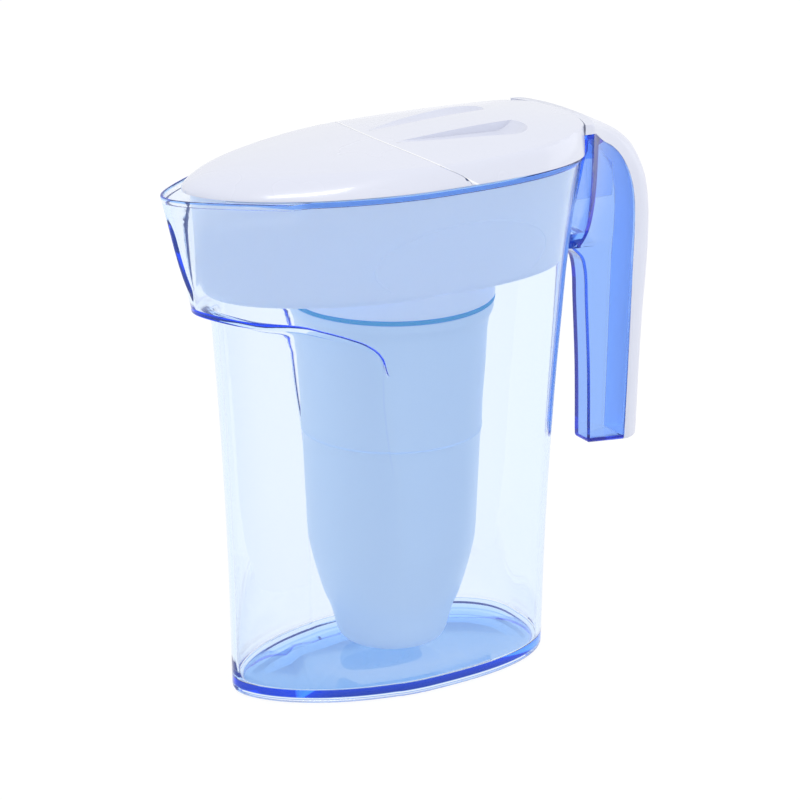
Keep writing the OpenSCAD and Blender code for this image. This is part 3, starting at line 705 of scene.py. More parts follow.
def jug_rows():
    """The whole jug as one skin: under the floor, up the outside, over the rim, down the inside."""
    wall, foot, bead = sizes().wall, sizes().foot, sizes().bead
    floor_z = foot + sizes().floor
    under = [flat_row(foot, 1.6), flat_row(foot - 0.3, 1.4), flat_row(0.3, 0.9), flat_row(0, 0.7)]
    outside = [wall_row(z, True) for z in (0, 0.12, 0.4, 0.8, 1.3, 1.8)]
    outside += [lower_row(t) for t in spread(0, 1, 24)]
    outside += [ledge_row(t) for t in spread(0, 1, 10)[1:]]
    outside += [band_row(t, 0, 1.8) for t in spread(0, 1, 22)[1:]]
    rim = [rim_row(1.5, 0), rim_row(0.5, 0), rim_row(0.15, 0.15), rim_row(0, 0.5), rim_row(0, LIP_IN - 0.2),
           rim_row(0.2, LIP_IN), rim_row(LIP_DROP, LIP_IN), rim_row(LIP_DROP, wall)]
    inside = [band_row(t, wall, LIP_DROP) for t in reversed(spread(0, 1, 16)[:-1])]
    inside += [ledge_row(t, wall) for t in reversed(spread(0, 1, 10)[1:-1])]
    inside += [lower_row(t, wall, floor_z + FLOOR_ROUND, wall / 2) for t in reversed(spread(0, 1, 20))]
    for turn in (60, 30):
        c, s = math.cos(math.radians(turn)), math.sin(math.radians(turn))
        inside.append(wall_row(floor_z + FLOOR_ROUND * (1 - s), True, wall + FLOOR_ROUND * (1 - c)))
    return under + outside + rim + inside + [flat_row(floor_z, wall + FLOOR_ROUND - FOOT_IN)]


def lid_arc(y):
    """The lid's rear edge in plan."""
    return 86.5 - 8.04 * (y / 30) ** 2 + 0.5 * (y / 30) ** 4


def saddle_arc(y):
    """The rear face of the saddle in plan, against which the handle stands."""
    return 92.5 - 9 * (y / 30) ** 2


def root_w(z):
    """Half width of the handle's root at a height."""
    return smooth_lookup(z, [
        (TONGUE_Z, 5.2), (180, 7), (184, 11), (190, 15.8), (198, 20.2), (206, 23.6), (220, 27),
        (SADDLE_TOP_Z, 29.4), (241, 30)])


def rear_wall_x(y, z):
    """The jug's rear wall along X at a place across it."""
    power = rear_n(z)
    return PLAN_X0 + (rear_x(z) - PLAN_X0) * (1 - min(1, abs(y) / side_w(z)) ** power) ** (1 / power)


def saddle_row(z, inset=0.0):
    """A crescent: along the saddle's back, and home along its front."""
    half = root_w(z) - inset

    def row(u):
        y = half * (4 * u - 1 if u < 0.5 else 3 - 4 * u)
        back = min(saddle_arc(y), lookup(z, [(TONGUE_Z, 89), (182, 93)])) - inset
        front = lid_arc(y) if z > sizes().rim_z else rear_wall_x(y, z) - sizes().wall / 2
        return Vector((back if u < 0.5 else min(front + inset, back - 1.2), y, z))
    return row


def saddle_hollow_row(z):
    """The saddle's hollow, which opens towards the handle."""
    half = root_w(z) - sizes().wall

    def row(u):
        y = half * (4 * u - 1 if u < 0.5 else 3 - 4 * u)
        front = lid_arc(y) + 2 if z > sizes().rim_z else rear_wall_x(y, z) + 0.2
        return Vector((saddle_arc(y) + 3 if u < 0.5 else front, y, z))
    return row


def make_jug():
    jug = skin("PitcherBody", jug_rows(), COLUMNS)
    rim = sizes().rim_z
    heights = spread(TONGUE_Z + 0.4, rim - 0.4, 22) + spread(rim + 0.1, SADDLE_TOP_Z - 0.4, 6)
    rows = [saddle_row(z) for z in heights] + [saddle_row(SADDLE_TOP_Z, 0.4)]
    hollow = spread(188, rim - 1, 14) + [rim + 1, SADDLE_TOP_Z - 2.4]
    saddle = skin("Saddle", rows, 96)
    carve(saddle, skin("SaddleHollow", [saddle_hollow_row(z) for z in hollow], 96))
    return carve(jug, saddle, "UNION")


# ---------------------------------------------------------------- the handle
GRIP_HALF_W = 10
HANDLE_LOW_Z, HOLLOW_TOP_Z = 84, 229
HANDLE_COLUMNS = 81
ROOT_FRONT_X = 75
FLARE_END_X = 120
GRIP_POWER = 2.4
FOOT_SOFT = 2.4
COVER_GAP, COVER_SKIN = 0.15, 1.2
SADDLE_GAP = 0.1
WEB_T = 1.8


def grip_inner_x(z):
    """The handle's face towards the jug."""
    return smooth_lookup(z, [
        (HANDLE_LOW_Z, 100.6), (120, 99.6), (153, 97.6), (164, 97), (171, 95.7), (174, 94.2),
        (TONGUE_Z, 90)])


def grip_back_x(z):
    """The handle's back, which bends forward to the lid at the top."""
    return smooth_lookup(z, [
        (HANDLE_LOW_Z, 127.6), (122, 128.7), (145, 129.7), (160, 130.8), (178, 131.6), (193, 131.3),
        (205, 129.5), (212.6, 126.8), (219, 123.3), (224, 119.6), (229.4, 113), (232.9, 106.6),
        (235.9, 100.4), (238.6, 94.6), (241.2, 88.4)])


def handle_w(x, z):
    """Half width of the handle: the grip's, flaring out to the root's towards the jug."""
    root = root_w(z) if z > TONGUE_Z else 5.2
    root_x = saddle_arc(root) if z > TONGUE_Z else grip_inner_x(z)
    share = min(1, max(0, (FLARE_END_X - x) / (FLARE_END_X - root_x)))
    return GRIP_HALF_W + (root - GRIP_HALF_W) * share ** lookup(z, [(TONGUE_Z, 1), (186, 1.7)])


def handle_row(z, inset=0.0, out_z=None):
    """A section of the handle: a flat front, along one side, round the back and home."""
    start = (ROOT_FRONT_X if z > TONGUE_Z else grip_inner_x(z)) + inset
    back = max(start + 2, grip_back_x(z) - inset)
    soft = min(9, (back - start) * 0.7)

    def row(u):
        turn = min(1, u * HANDLE_COLUMNS / (HANDLE_COLUMNS - 1))
        h, side = (2 * turn, -1) if turn <= 0.5 else (2 - 2 * turn, 1)
        x = back - (back - start) * max(0, math.cos(math.pi / 2 * h)) ** 1.5
        s = min(1, max(0, (x - back + soft) / soft))
        w = handle_w(x, z) - inset
        y = 0 if h == 1 else max(0.3, w * (1 - s**GRIP_POWER) ** (1 / GRIP_POWER))
        return Vector((x, y * side, out_z or z))
    return row


def handle_volume():
    """The whole handle, shell and cover, as one solid with a softened foot."""
    foot = [handle_row(HANDLE_LOW_Z, FOOT_SOFT * (1 - math.sin(a)),
                       HANDLE_LOW_Z + FOOT_SOFT * (1 - math.cos(a))) for a in spread(0, math.pi / 2, 6)]
    heights = (spread(HANDLE_LOW_Z + 4, TONGUE_Z, 46) + spread(TONGUE_Z + 1.4, 222, 30)
               + spread(222.8, 240.6, 30))
    return skin("HandleVolume", foot + [handle_row(z) for z in heights], HANDLE_COLUMNS)


def handle_hollow():
    inset = sizes().handle_wall
    heights = spread(HANDLE_LOW_Z + inset, TONGUE_Z, 40) + spread(TONGUE_Z + 1.4, HOLLOW_TOP_Z, 40)
    return skin("HandleHollow", [handle_row(z, inset) for z in heights], HANDLE_COLUMNS)


def curve_through(points, per=6):
    """A smooth line through points in a plane."""
    head = tuple(2 * a - b for a, b in zip(points[0], points[1]))
    tail = tuple(2 * a - b for a, b in zip(points[-1], points[-2]))
    line = [head, *points, tail]
    made = []
    for before, start, end, after in zip(line, line[1:], line[2:], line[3:]):
        for i in range(per):
            t = i / per
            made.append(tuple(
                0.5 * (2 * b + (c - a) * t + (2 * a - 5 * b + 4 * c - d) * t**2
                       + (3 * b - a - 3 * c + d) * t**3)
                for a, b, c, d in zip(before, start, end, after)))
    return made + [points[-1]]


def cover_region(grow):
    """Side view of the space that belongs to the handle's white cover."""
    seam = [(84.5, SADDLE_TOP_Z)] + curve_through([
        (86, 235.6), (95.5, 229.6), (104, 225), (111, 219), (116.7, 210), (119.6, 199), (120.2, 184),
        (119.8, 165), (118.7, 113), (117.8, 80)])
    outline = [(x - grow, z - grow) for x, z in [(70, SADDLE_TOP_Z)] + seam]
    return prism("CoverRegion", outline + [(150, 80 - grow), (150, 260), (70, 260)], -60, 60, "Y")


def arc_prism(name, arc, shift, far_x, low, high):
    """An upright prism between an arc in plan and a line beyond it."""
    places = [1.6 * i for i in range(-25, 26)]
    return prism(name, [(arc(y) + shift, y) for y in places] + [(far_x, 40), (far_x, -40)], low, high)


def box_tool(name, low, high):
    outline = [(low[0], low[1]), (high[0], low[1]), (high[0], high[1]), (low[0], high[1])]
    return prism(name, outline, low[2], high[2])


def behind_saddle(shift):
    """The handle's own side of the saddle's rear face, and the whole grip below it."""
    behind = arc_prism("Behind", saddle_arc, shift, 160, 150, 270)
    return carve(behind, box_tool("GripBox", (80, -40, 70), (150, 40, TONGUE_Z)), "UNION")


def make_handle_shell():
    wall = sizes().handle_wall
    shell = carve(handle_volume(), behind_saddle(SADDLE_GAP), "INTERSECT")
    carve(shell, cover_region(COVER_GAP))
    carve(shell, carve(handle_hollow(), behind_saddle(SADDLE_GAP + wall), "INTERSECT"))
    web = prism("Web", [(94, 199), (112.5, 199), (112.5, 214), (104, 221.5), (94, 226)],
                -WEB_T / 2, WEB_T / 2, "Y")
    shell = carve(shell, web, "UNION", sharp=35)
    shell.name = "HandleShell"
    return shell


def inside_cover(place):
    """Whether a place on the cover looks into the handle's hollow."""
    x, y, z = place / MM
    back, soft = grip_back_x(z) - COVER_SKIN, 8
    s = min(1, max(0, (x - back + soft) / soft))
    within = (handle_w(x, z) - COVER_SKIN) * (1 - s**GRIP_POWER) ** (1 / GRIP_POWER)
    return HANDLE_LOW_Z + 1 < z < HOLLOW_TOP_Z + 0.5 and x < back and abs(y) < within


def make_handle_cover():
    cover = carve(handle_volume(), cover_region(0), "INTERSECT")
    carve(cover, handle_hollow())
    carve(cover, arc_prism("BeforeLid", lid_arc, 0.1, 60, SADDLE_TOP_Z - 8, SADDLE_TOP_Z + 22))
    before_saddle = arc_prism("BeforeSaddle", saddle_arc, COVER_GAP, 60, 150, SADDLE_TOP_Z + COVER_GAP)
    carve(cover, before_saddle, sharp=35)
    cover.name = "HandleCover"
    return cover


# ---------------------------------------------------------------- the reservoir
RESERVOIR_Z, RESERVOIR_FOOT = 180, 6
COLLAR_R, COLLAR_WALL, COLLAR_Z = 44.5, 2, 171.6
BIN_OUT, BIN_IN = 2.7, 4.2
BEAK_HALF_W = 18
OVAL_X, OVAL_Z, OVAL_HALF_L, OVAL_HALF_H = 10.5, 195, 42.4, 16.1


def bin_front(z):
    """Front of the reservoir, which stands back from the jug's wall under the beak."""
    return smooth_lookup(z, [
        (RESERVOIR_Z, -85.6), (RESERVOIR_Z + 2, -87.2), (RESERVOIR_Z + 5, -88.8), (193, -90.1), (203, -91.2),
        (215, -92.3), (sizes().rim_z, -92.8)])


def bin_row(z, inset, out_z=None):
    """A row of the reservoir or of the lid's skirt."""
    place = out_z or z
    front = bin_front(place) + inset - BIN_OUT

    def row(u):
        x, y = plan_point(360 * u, front, front_n(z), rear_x(z) - inset, rear_n(z), side_w(z) - inset)
        return Vector((x, y, place))
    return row


def lip_row(drop, inset):
    """A row of the reservoir's lip, which lies on the jug's rim and stops short over the beak."""
    rim = sizes().rim_z

    def row(u):
        x, y = plan_point(360 * u, full_x(rim) + inset, front_n(rim), rear_x(rim) - inset, rear_n(rim),
                          side_w(rim) - inset)
        point = Vector((x, y, rim - drop))
        if x < -60 and abs(y) < BEAK_HALF_W:
            back = bin_row(rim, BIN_OUT)(u)
            share = smoothstep(BEAK_HALF_W, BEAK_HALF_W - 2.5, abs(y))
            point = point.lerp(Vector((back.x, back.y, point.z)), share)
        return point
    return row


def side_wall_y(x, z):
    """Half width of the reservoir at a place along X."""
    front = x < PLAN_X0
    reach = PLAN_X0 - bin_front(z) if front else rear_x(z) - BIN_OUT - PLAN_X0
    power = front_n(z) if front else rear_n(z)
    return (side_w(z) - BIN_OUT) * (1 - min(1, abs(x - PLAN_X0) / reach) ** power) ** (1 / power)


def oval_line(side):
    """A thin raised line round a plain oval on the reservoir's side, cut short by its rounded foot."""
    radius = sizes().oval_line

    def on_wall(turn):
        x = OVAL_X + OVAL_HALF_L * math.cos(turn)
        z = OVAL_Z + OVAL_HALF_H * math.sin(turn)
        return Vector((x, side * side_wall_y(x, z), z))

    def section(turn):
        here, ahead = on_wall(turn), on_wall(turn + 0.01)
        along = (ahead - here).normalized()
        out = Vector((0, side, 0))
        across = along.cross(out).normalized()
        return lambda u: here + radius * (0.55 * out * math.cos(2 * math.pi * u)
                                          + across * math.sin(2 * math.pi * u))
    bm = bmesh.new()
    add_skin(bm, [section(math.radians(a)) for a in spread(0, 360, 160)], 14, caps=False)
    line = finish_mesh(bm, "OvalLine", 60)
    end = box_tool("OvalEnd", (-80, -60, RESERVOIR_Z + RESERVOIR_FOOT), (90, 60, 230))
    return carve(line, end, "INTERSECT", sharp=60)


def make_reservoir():
    """The bin: a rounded foot, the wall, the lip over the jug's rim, and home along the inside."""
    rim, straight_z = sizes().rim_z, RESERVOIR_Z + RESERVOIR_FOOT
    outside = [bin_row(straight_z, BIN_OUT + 4.8 * (1 - math.sin(a)) ** 1.2 if a < 1.57 else BIN_OUT,
                       RESERVOIR_Z + 5 * (1 - math.cos(a))) for a in spread(0, math.pi / 2, 8)]
    outside += [bin_row(z, BIN_OUT) for z in spread(straight_z, rim - LIP_DROP + 0.1, 18)]
    lip_in = LIP_IN + 0.35
    lip = [lip_row(LIP_DROP - 0.35, lip_in), lip_row(0.6, lip_in), lip_row(0.3, lip_in + 0.3)]
    inside = [bin_row(z, BIN_IN) for z in spread(rim - 0.3, straight_z + 1, 18)]
    inside += [bin_row(straight_z, BIN_IN + 4 * (1 - math.cos(a)), RESERVOIR_Z + 2 + 5 * (1 - math.sin(a)))
               for a in spread(math.radians(15), math.pi / 2, 6)]
    tub = skin("Reservoir", outside + lip + inside, COLUMNS)
    collar = [(0, COLLAR_Z), (COLLAR_R - 0.3, COLLAR_Z), (COLLAR_R, COLLAR_Z + 0.3),
              (COLLAR_R, RESERVOIR_Z + 1.5), (0, RESERVOIR_Z + 1.5)]
    carve(tub, lathe("Collar", collar, 160), "UNION")
    bore_r = COLLAR_R - COLLAR_WALL
    carve(tub, lathe("Bore", [(0, 160), (bore_r, 160), (bore_r, 190), (0, 190)], 160))
    for side in (-1, 1):
        carve(tub, oval_line(side), "UNION", sharp=35)
    return tub


# ---------------------------------------------------------------- the lid
LID_FRONT_X, LID_REAR_X = -96.8, 88.2
LID_HALF_W = 48.6
LID_FRONT_N, LID_REAR_N = 1.82, 2.8
PIVOT_X, PIVOT_Z, PIVOT_R = 9, 231, 1.3
RIDGE_HALF_W = 11
LUG_Y, LUG_T = 38, 3
BOSS_Y, BOSS_T, BOSS_R = 41.6, 4.1, 2.5
REAR_PLAY, SWEEP_PLAY, TIP_PLAY = 0.15, 0.2, 0.3
SWEEP_HALF_W = 48.8
SEAM_START, SEAM_SWEEP, SHOULDER_Y = -9, 0.0034, 43.9
SEAM_END_Y = 44.3
# Width of the painted highlight along the flap's seam.
SEAM_HIGHLIGHT_BAND = 0.9
SEAM_SIDE = [(-9, 242), (-4, 238.5), (-2.2, 236.7), (1.2, 234.9), (5.4, 232.7), (8.8, 230.4), (10.7, 228),
             (12, 224)]


def lid_edge_z():
    """The lid's lower edge, a little over the jug's rim."""
    return sizes().rim_z + 0.4


def lid_mid_z(x):
    """Height of the lid's crown along its middle."""
    return smooth_lookup(x, [
        (-97, 228.6), (-93, 231.4), (-86, 233.9), (-76, 235.9), (-60, 237.6), (-40, 238.7), (-20, 239.4),
        (0, 240.3), (20, 241.5), (40, 242.4), (60, 242.5), (75, 241.8), (87, 241)])


def crease_z(x):
    """Height of the crease where the crown meets the shoulder."""
    return smooth_lookup(x, [
        (-97, 228.4), (-93, 231), (-86, 233), (-76, 234.8), (-60, 236.2), (-30, 236.8), (0, 236.8),
        (30, 237.4), (60, 238.6), (76, 240), (87, 240.6)])


def crease_at(x):
    """Where the crease stands, as a share of the lid's half width."""
    return smooth_lookup(x, [
        (-97, 0.35), (-80, 0.5), (-60, 0.62), (-40, 0.74), (-20, 0.84), (0, 0.91), (40, 0.93), (87, 0.94)])


def lid_w(x):
    """Half width of the lid at a place along X."""
    front = x < PLAN_X0
    reach = PLAN_X0 - LID_FRONT_X if front else LID_REAR_X - PLAN_X0
    power = LID_FRONT_N if front else LID_REAR_N
    return LID_HALF_W * max(1e-4, 1 - min(1, abs(x - PLAN_X0) / reach) ** power) ** (1 / power)


def lid_z(x, y):
    """Height of the lid's top: a crown between the creases, a rounded shoulder outside them."""
    u, crease = min(1, abs(y) / lid_w(x)), crease_at(x)
    if u < crease:
        return crease_z(x) + (lid_mid_z(x) - crease_z(x)) * (1 - (u / crease) ** 2.2)
    fall = max(0, 1 - ((u - crease) / (1 - crease)) ** 1.8) ** 0.8
    return lid_edge_z() + (crease_z(x) - lid_edge_z()) * fall


def lid_plan(u, ratio, inset):
    x, y = plan_point(360 * u, LID_FRONT_X + inset, LID_FRONT_N, LID_REAR_X - inset, LID_REAR_N,
                      LID_HALF_W - inset)
    return PLAN_X0 + (x - PLAN_X0) * ratio, y * ratio


def lid_row(ratio, inset, drop):
    lowest = lid_edge_z() - (1 if drop else -0.02)

    def row(u):
        x, y = lid_plan(u, ratio, inset)
        return Vector((x, y, max(lowest, lid_z(x, y) - drop)))
    return row


def lid_flat_row(inset, z):
    return lambda u: Vector((*lid_plan(u, 1, inset), z))


def lid_dome(name, inset=0.0, drop=0.0):
    """The lid as a solid dome; inset and drop take it in and down for its hollow."""
    base = lid_flat_row(inset, lid_edge_z() - (1.6 if drop else 0))
    ratios = [math.cos(a) for a in spread(math.radians(4), math.radians(89), 44)]
    return skin(name, [base] + [lid_row(r, inset, drop) for r in ratios], 200)


def lid_hollow(name):
    """The hollow under the dome; it stops short of the wall that closes the lid's rear."""
    skin_t = sizes().lid_skin
    return carve(lid_dome(name, skin_t, skin_t),
                 arc_prism("RearWall", lid_arc, -REAR_PLAY - skin_t, 160, 200, 260))


def lid_shell(name, hollow):
    """The whole lid as a shell, trimmed along the saddle."""
    lid = carve(lid_dome(name), hollow)
    return carve(lid, arc_prism("BehindLid", lid_arc, -REAR_PLAY, 160, 200, 260))


def seam_x(y):
    """Where the lid's halves part: swept back across the top, then down the shoulder."""
    y = abs(y)
    if y < SEAM_END_Y:
        return SEAM_START + SEAM_SWEEP * y * y
    return lookup(y, [
        (SEAM_END_Y, SEAM_START + SEAM_SWEEP * SEAM_END_Y**2), (46.3, 1.2), (47.3, 5.4), (48, 8.8)])


def flap_region(grow):
    """The space that belongs to the flap: parted in plan on top, in side view on the shoulders."""
    places = spread(-SHOULDER_Y - grow, SHOULDER_Y + grow, 40)
    outline = [(seam_x(y) - grow, y) for y in places] + [(120, places[-1]), (120, places[0])]
    region = prism("FlapRegion", outline, 200, 260)
    slope = [(x - grow * 0.55, z - grow * 0.85) for x, z in curve_through(SEAM_SIDE, 4)]
    for side in (-1, 1):
        ends = sorted((side * (SHOULDER_Y - 0.2 - grow), side * 60))
        carve(region, prism("Shoulder", slope + [(121, 223), (121, 243)], *ends, "Y"), "UNION")
    return region


def lathe_across(name, profile):
    """Spins a (radius, place across) outline round the flap's pivot axis."""
    bm = bmesh.new()
    add_lathe(bm, profile, 96)
    bmesh.ops.rotate(bm, verts=bm.verts, cent=(0, 0, 0), matrix=Matrix.Rotation(-math.pi / 2, 3, "X"))
    bmesh.ops.translate(bm, verts=bm.verts, vec=(PIVOT_X, 0, PIVOT_Z))
    return finish_mesh(bm, name)


def around_pivot(name, outline, low, high):
    """A prism across the jug whose outline is given round the flap's pivot."""
    return prism(name, [(PIVOT_X + x, PIVOT_Z + z) for x, z in outline], low, high, "Y")


def flap_sweep():
    """What the flap's front sweeps as it turns; beside the shoulders it stops at the bosses' roots."""
    def reach(y):
        play = SWEEP_PLAY + TIP_PLAY * smoothstep(45, 46.5, abs(y))
        return math.hypot(seam_x(y) - PIVOT_X, lid_z(seam_x(y), y) - PIVOT_Z) + play
    places = [SWEEP_HALF_W * math.sin(a) for a in spread(-math.pi / 2, math.pi / 2, 64)]
    profile = [(0, -SWEEP_HALF_W)] + [(reach(y), y) for y in places] + [(0, SWEEP_HALF_W)]
    swept = lathe_across("FlapSweep", profile)
    room = box_tool("SweepMiddle", (PIVOT_X - 40, -SHOULDER_Y, PIVOT_Z - 40),
                    (PIVOT_X + 40, SHOULDER_Y, PIVOT_Z + 40))
    ahead = [(1, -0.3), (1, 30), (-30, 30), (-30, -30), (-14, -30), (-5.2, -11.4), (-3.4, -8), (-1.2, -3.8)]
    return carve(swept, carve(room, around_pivot("SweepSides", ahead, -50, 50), "UNION"), "INTERSECT")


def rods(name, ends, radius):
    """Rods along Y, each from one place across the jug to another, on the pivot's axis."""
    bm = bmesh.new()
    across = Matrix.Rotation(math.pi / 2, 4, "X")
    for start, end in ends:
        middle = Matrix.Translation((PIVOT_X, (start + end) / 2, PIVOT_Z))
        bmesh.ops.create_cone(bm, cap_ends=True, segments=48, radius1=radius, radius2=radius,
                              depth=end - start, matrix=middle @ across)
    return finish_mesh(bm, name)


def both_sides(low, high):
    return [(low, high), (-high, -low)]


# Balls along a finger scoop: place along X, place out from the ridge, height, radius.
SCOOP_BALLS = ((-4, 1, 240.9, 1.1), (18, 4, 245.5, 7.5), (45, 7, 249, 12.7))


def scoops(grow):
    """Two tapered finger scoops beside the pinch ridge."""
    made = None
    for side in (-1, 1):
        bm = bmesh.new()
        for x, y, z, r in SCOOP_BALLS:
            bmesh.ops.create_uvsphere(
                bm, u_segments=48, v_segments=32, radius=r + grow,
                matrix=Matrix.Translation((x, side * (RIDGE_HALF_W + y), z)))
        points = [vert.co.copy() for vert in bm.verts]
        bm.clear()
        hull = bmesh.ops.convex_hull(bm, input=[bm.verts.new(point) for point in points])
        inside = {item for item in hull["geom_interior"] if isinstance(item, bmesh.types.BMVert)}
        bmesh.ops.delete(bm, geom=list(inside), context="VERTS")
        scoop = finish_mesh(bm, "Scoop")
        inner, outer = (RIDGE_HALF_W - grow) * side, 60 * side
        cut = box_tool("ScoopCut", (-20, min(inner, outer), 200), (90, max(inner, outer), 260))
        carve(scoop, cut, "INTERSECT")
        made = carve(made, scoop, "UNION") if made else scoop
    return made


def lid_skirt():
    """The skirt under the lid's front half, which drops inside the reservoir."""
    rim, edge = sizes().rim_z, lid_edge_z()
    low, high = rim - 4.4, rim + 12
    outer = skin("Skirt", [bin_row(low, BIN_IN + 0.5), bin_row(rim, BIN_IN + 0.5, high)], 200)
    within = [bin_row(low, BIN_IN + 2, low - 1), bin_row(rim, BIN_IN + 2, high + 1)]
    carve(outer, skin("SkirtHollow", within, 200))
    below = skin("SkirtBelow", [lid_flat_row(3, edge - 8), lid_flat_row(3, edge + 1)], 200)
    sunk = sizes().lid_skin / 2
    carve(outer, carve(lid_dome("SkirtRoof", sunk, sunk), below, "UNION"), "INTERSECT")
    return carve(outer, box_tool("SkirtEnd", (-120, -60, 200), (-24, 60, 260)), "INTERSECT")


def make_lid_front():
    lid = lid_shell("LidFront", lid_hollow("LidHollow"))
    carve(lid, flap_region(sizes().lid_gap))
    carve(lid, lid_skirt(), "UNION")
    carve(lid, flap_sweep())
    carve(lid, rods("Bosses", both_sides(BOSS_Y, BOSS_Y + BOSS_T), BOSS_R), "UNION")
    root = [(-0.1, -1.3), (-0.8, -3.2), (1.3, -3.2), (0.3, -1.8)]
    for ends in both_sides(SHOULDER_Y, 47.3):
        carve(lid, around_pivot("BossRoot", root, *ends), "UNION")
    carve(lid, rods("Bores", both_sides(BOSS_Y - 1, BOSS_Y + 3.5), PIVOT_R + 0.06), sharp=35)
    return lid


def boss_room():
    """Room in the flap for the bosses, open downwards."""
    room_r, low, high = BOSS_R + 0.4, BOSS_Y - 0.4, BOSS_Y + BOSS_T + 0.2
    made = rods("BossRoom", both_sides(low, high), room_r)
    below = [(-room_r, -6), (room_r, -6), (room_r, 0), (-room_r, 0)]
    for ends in both_sides(low, high):
        carve(made, around_pivot("RoomBelow", below, *ends), "UNION")
    return made


def make_lid_flap():
    flap = lid_shell("LidFlap", carve(lid_hollow("FlapHollow"), scoops(sizes().lid_skin)))
    carve(flap, flap_region(0), "INTERSECT")
    carve(flap, scoops(0))
    carve(flap, boss_room())
    lug = [(-2.4, -2.4), (2.4, -2.4), (4.6, 2), (4.6, 5.6), (-4.6, 5.6), (-4.6, 2)]
    for ends in both_sides(LUG_Y, LUG_Y + LUG_T):
        carve(flap, around_pivot("Lug", lug, *ends), "UNION")
    carve(flap, rods("Stubs", both_sides(LUG_Y + 1, LUG_Y + LUG_T + 2.4), PIVOT_R), "UNION", sharp=35)
    return flap


# ---------------------------------------------------------------- the filter
FILTER_R, FILTER_WALL = 41.3, 1.8
WELD_R, WELD_Z = 38.7, 111.5
FILTER_LOW_Z = 12.4
OUTLETS, OUTLET_R, OUTLET_RING_R, MIDDLE_R = 12, 1.5, 13, 2.2
INLETS = 16
CUP_OUTLINE = [(19, FILTER_LOW_Z), (22.2, 13.2), (24, 15.8), (25.4, 20.4), (27.2, 27), (30.4, 35), (33.8, 47),
               (35.9, 56), (36.8, 62), (37.4, 75), (38.6, 106)]


def make_housing():
    outside = [(WELD_R + 0.5, WELD_Z + 0.15), (WELD_R + 0.75, WELD_Z + 0.5), (WELD_R + 0.6, WELD_Z + 1.1),
               (39.5, WELD_Z + 12), (40.6, 140), (FILTER_R, 156), (41.9, 160.5), (42.6, 163.4), (43.4, 164.5)]
    flange = [(44, 166.6), (44, 169.3), (FILTER_R + 0.3, 169.3), (FILTER_R + 0.3, 174.8)]
    inside = [(FILTER_R - FILTER_WALL, 174.8), (FILTER_R - FILTER_WALL, 156), (37.6, WELD_Z + 12),
              (WELD_R - FILTER_WALL, WELD_Z + 0.15)]
    return lathe("FilterHousing", outside + flange + inside, 160)


def ring_of_tools(count, make):
    """The same tool repeated round the filter's axis, as one object."""
    bm = bmesh.new()
    for i in range(count):
        turn = Matrix.Rotation(2 * math.pi * i / count, 4, "Z")
        make(bm, turn)
    return finish_mesh(bm, "RingOfTools")


def make_cup():
    outside = curve_through(CUP_OUTLINE, 5)
    rolled = [(WELD_R + 0.35, WELD_Z - 1.2), (WELD_R + 0.6, WELD_Z - 0.6), (WELD_R + 0.3, WELD_Z - 0.1)]
    inner = [(WELD_R - FILTER_WALL, WELD_Z - 0.1)]
    inner += [(r - FILTER_WALL, z + 0.3) for r, z in reversed(outside[3:])]
    inner += [(19, FILTER_LOW_Z + 2), (0, FILTER_LOW_Z + 2)]
    cup = lathe("FilterCup", [(0, FILTER_LOW_Z)] + outside + rolled + inner, 160)

    def hole(bm, turn):
        bmesh.ops.create_cone(bm, cap_ends=True, segments=24, radius1=OUTLET_R, radius2=OUTLET_R, depth=8,
                              matrix=turn @ Matrix.Translation((OUTLET_RING_R, 0, FILTER_LOW_Z + 1)))
    carve(cup, ring_of_tools(OUTLETS, hole))
    middle = lathe("MiddleHole", [(0, 8), (MIDDLE_R, 8), (MIDDLE_R, 18), (0, 18)], 48)
    return carve(cup, middle, sharp=35)


def make_cap():
    outline = [(0, 178), (FILTER_R - 2.4, 178), (FILTER_R - 2.4, 175), (FILTER_R + 0.2, 175),
               (FILTER_R + 0.2, 180), (FILTER_R - 0.2, 180.4), (FILTER_R - 1, 180.5), (FILTER_R - 4, 182),
               (0, 182)]
    cap = lathe("FilterCap", outline, 128)

    def inlet(bm, turn):
        slot = Matrix.Translation((25.5, 0, 180)) @ Matrix.Diagonal((15, 3, 20, 1))
        bmesh.ops.create_cube(bm, size=1, matrix=turn @ slot)
    carve(cap, ring_of_tools(INLETS, inlet))
    return carve(cap, box_tool("PullTab", (-9, -1.2, 181.5), (9, 1.2, 187.5)), "UNION", sharp=35)


def make_seal():
    outline = [(FILTER_R + 0.5, 169.5), (COLLAR_R - 0.5, 169.5), (COLLAR_R - 0.1, 169.8), (COLLAR_R, 170.5),
               (COLLAR_R - 0.1, 171.2), (COLLAR_R - 0.5, 171.5), (FILTER_R + 0.5, 171.5)]
    return lathe("FilterSeal", outline, 160)


# ---------------------------------------------------------------- operators
def guard(made):
    """Stops with a plain message if a piece isn't closed."""
    bm = bmesh.new()
    bm.from_mesh(made.data)
    open_edges = sum(1 for edge in bm.edges if not edge.is_manifold)
    faces = len(bm.faces)
    bm.free()
    if open_edges:
        raise RuntimeError(f"{made.name} has {open_edges} open edges among {faces} faces")
    return made


class PITCHER_OT_jug(bpy.types.Operator):
    """Builds the clear jug with its ledge, beak, rim and saddle"""

    bl_idname = "pitcher.jug"
    bl_label = "Jug"

    def execute(self, context):
        declare(guard(make_jug()), "jug", "clear_blue", "pitcher_body", finish=clear_finish())
        return {"FINISHED"}


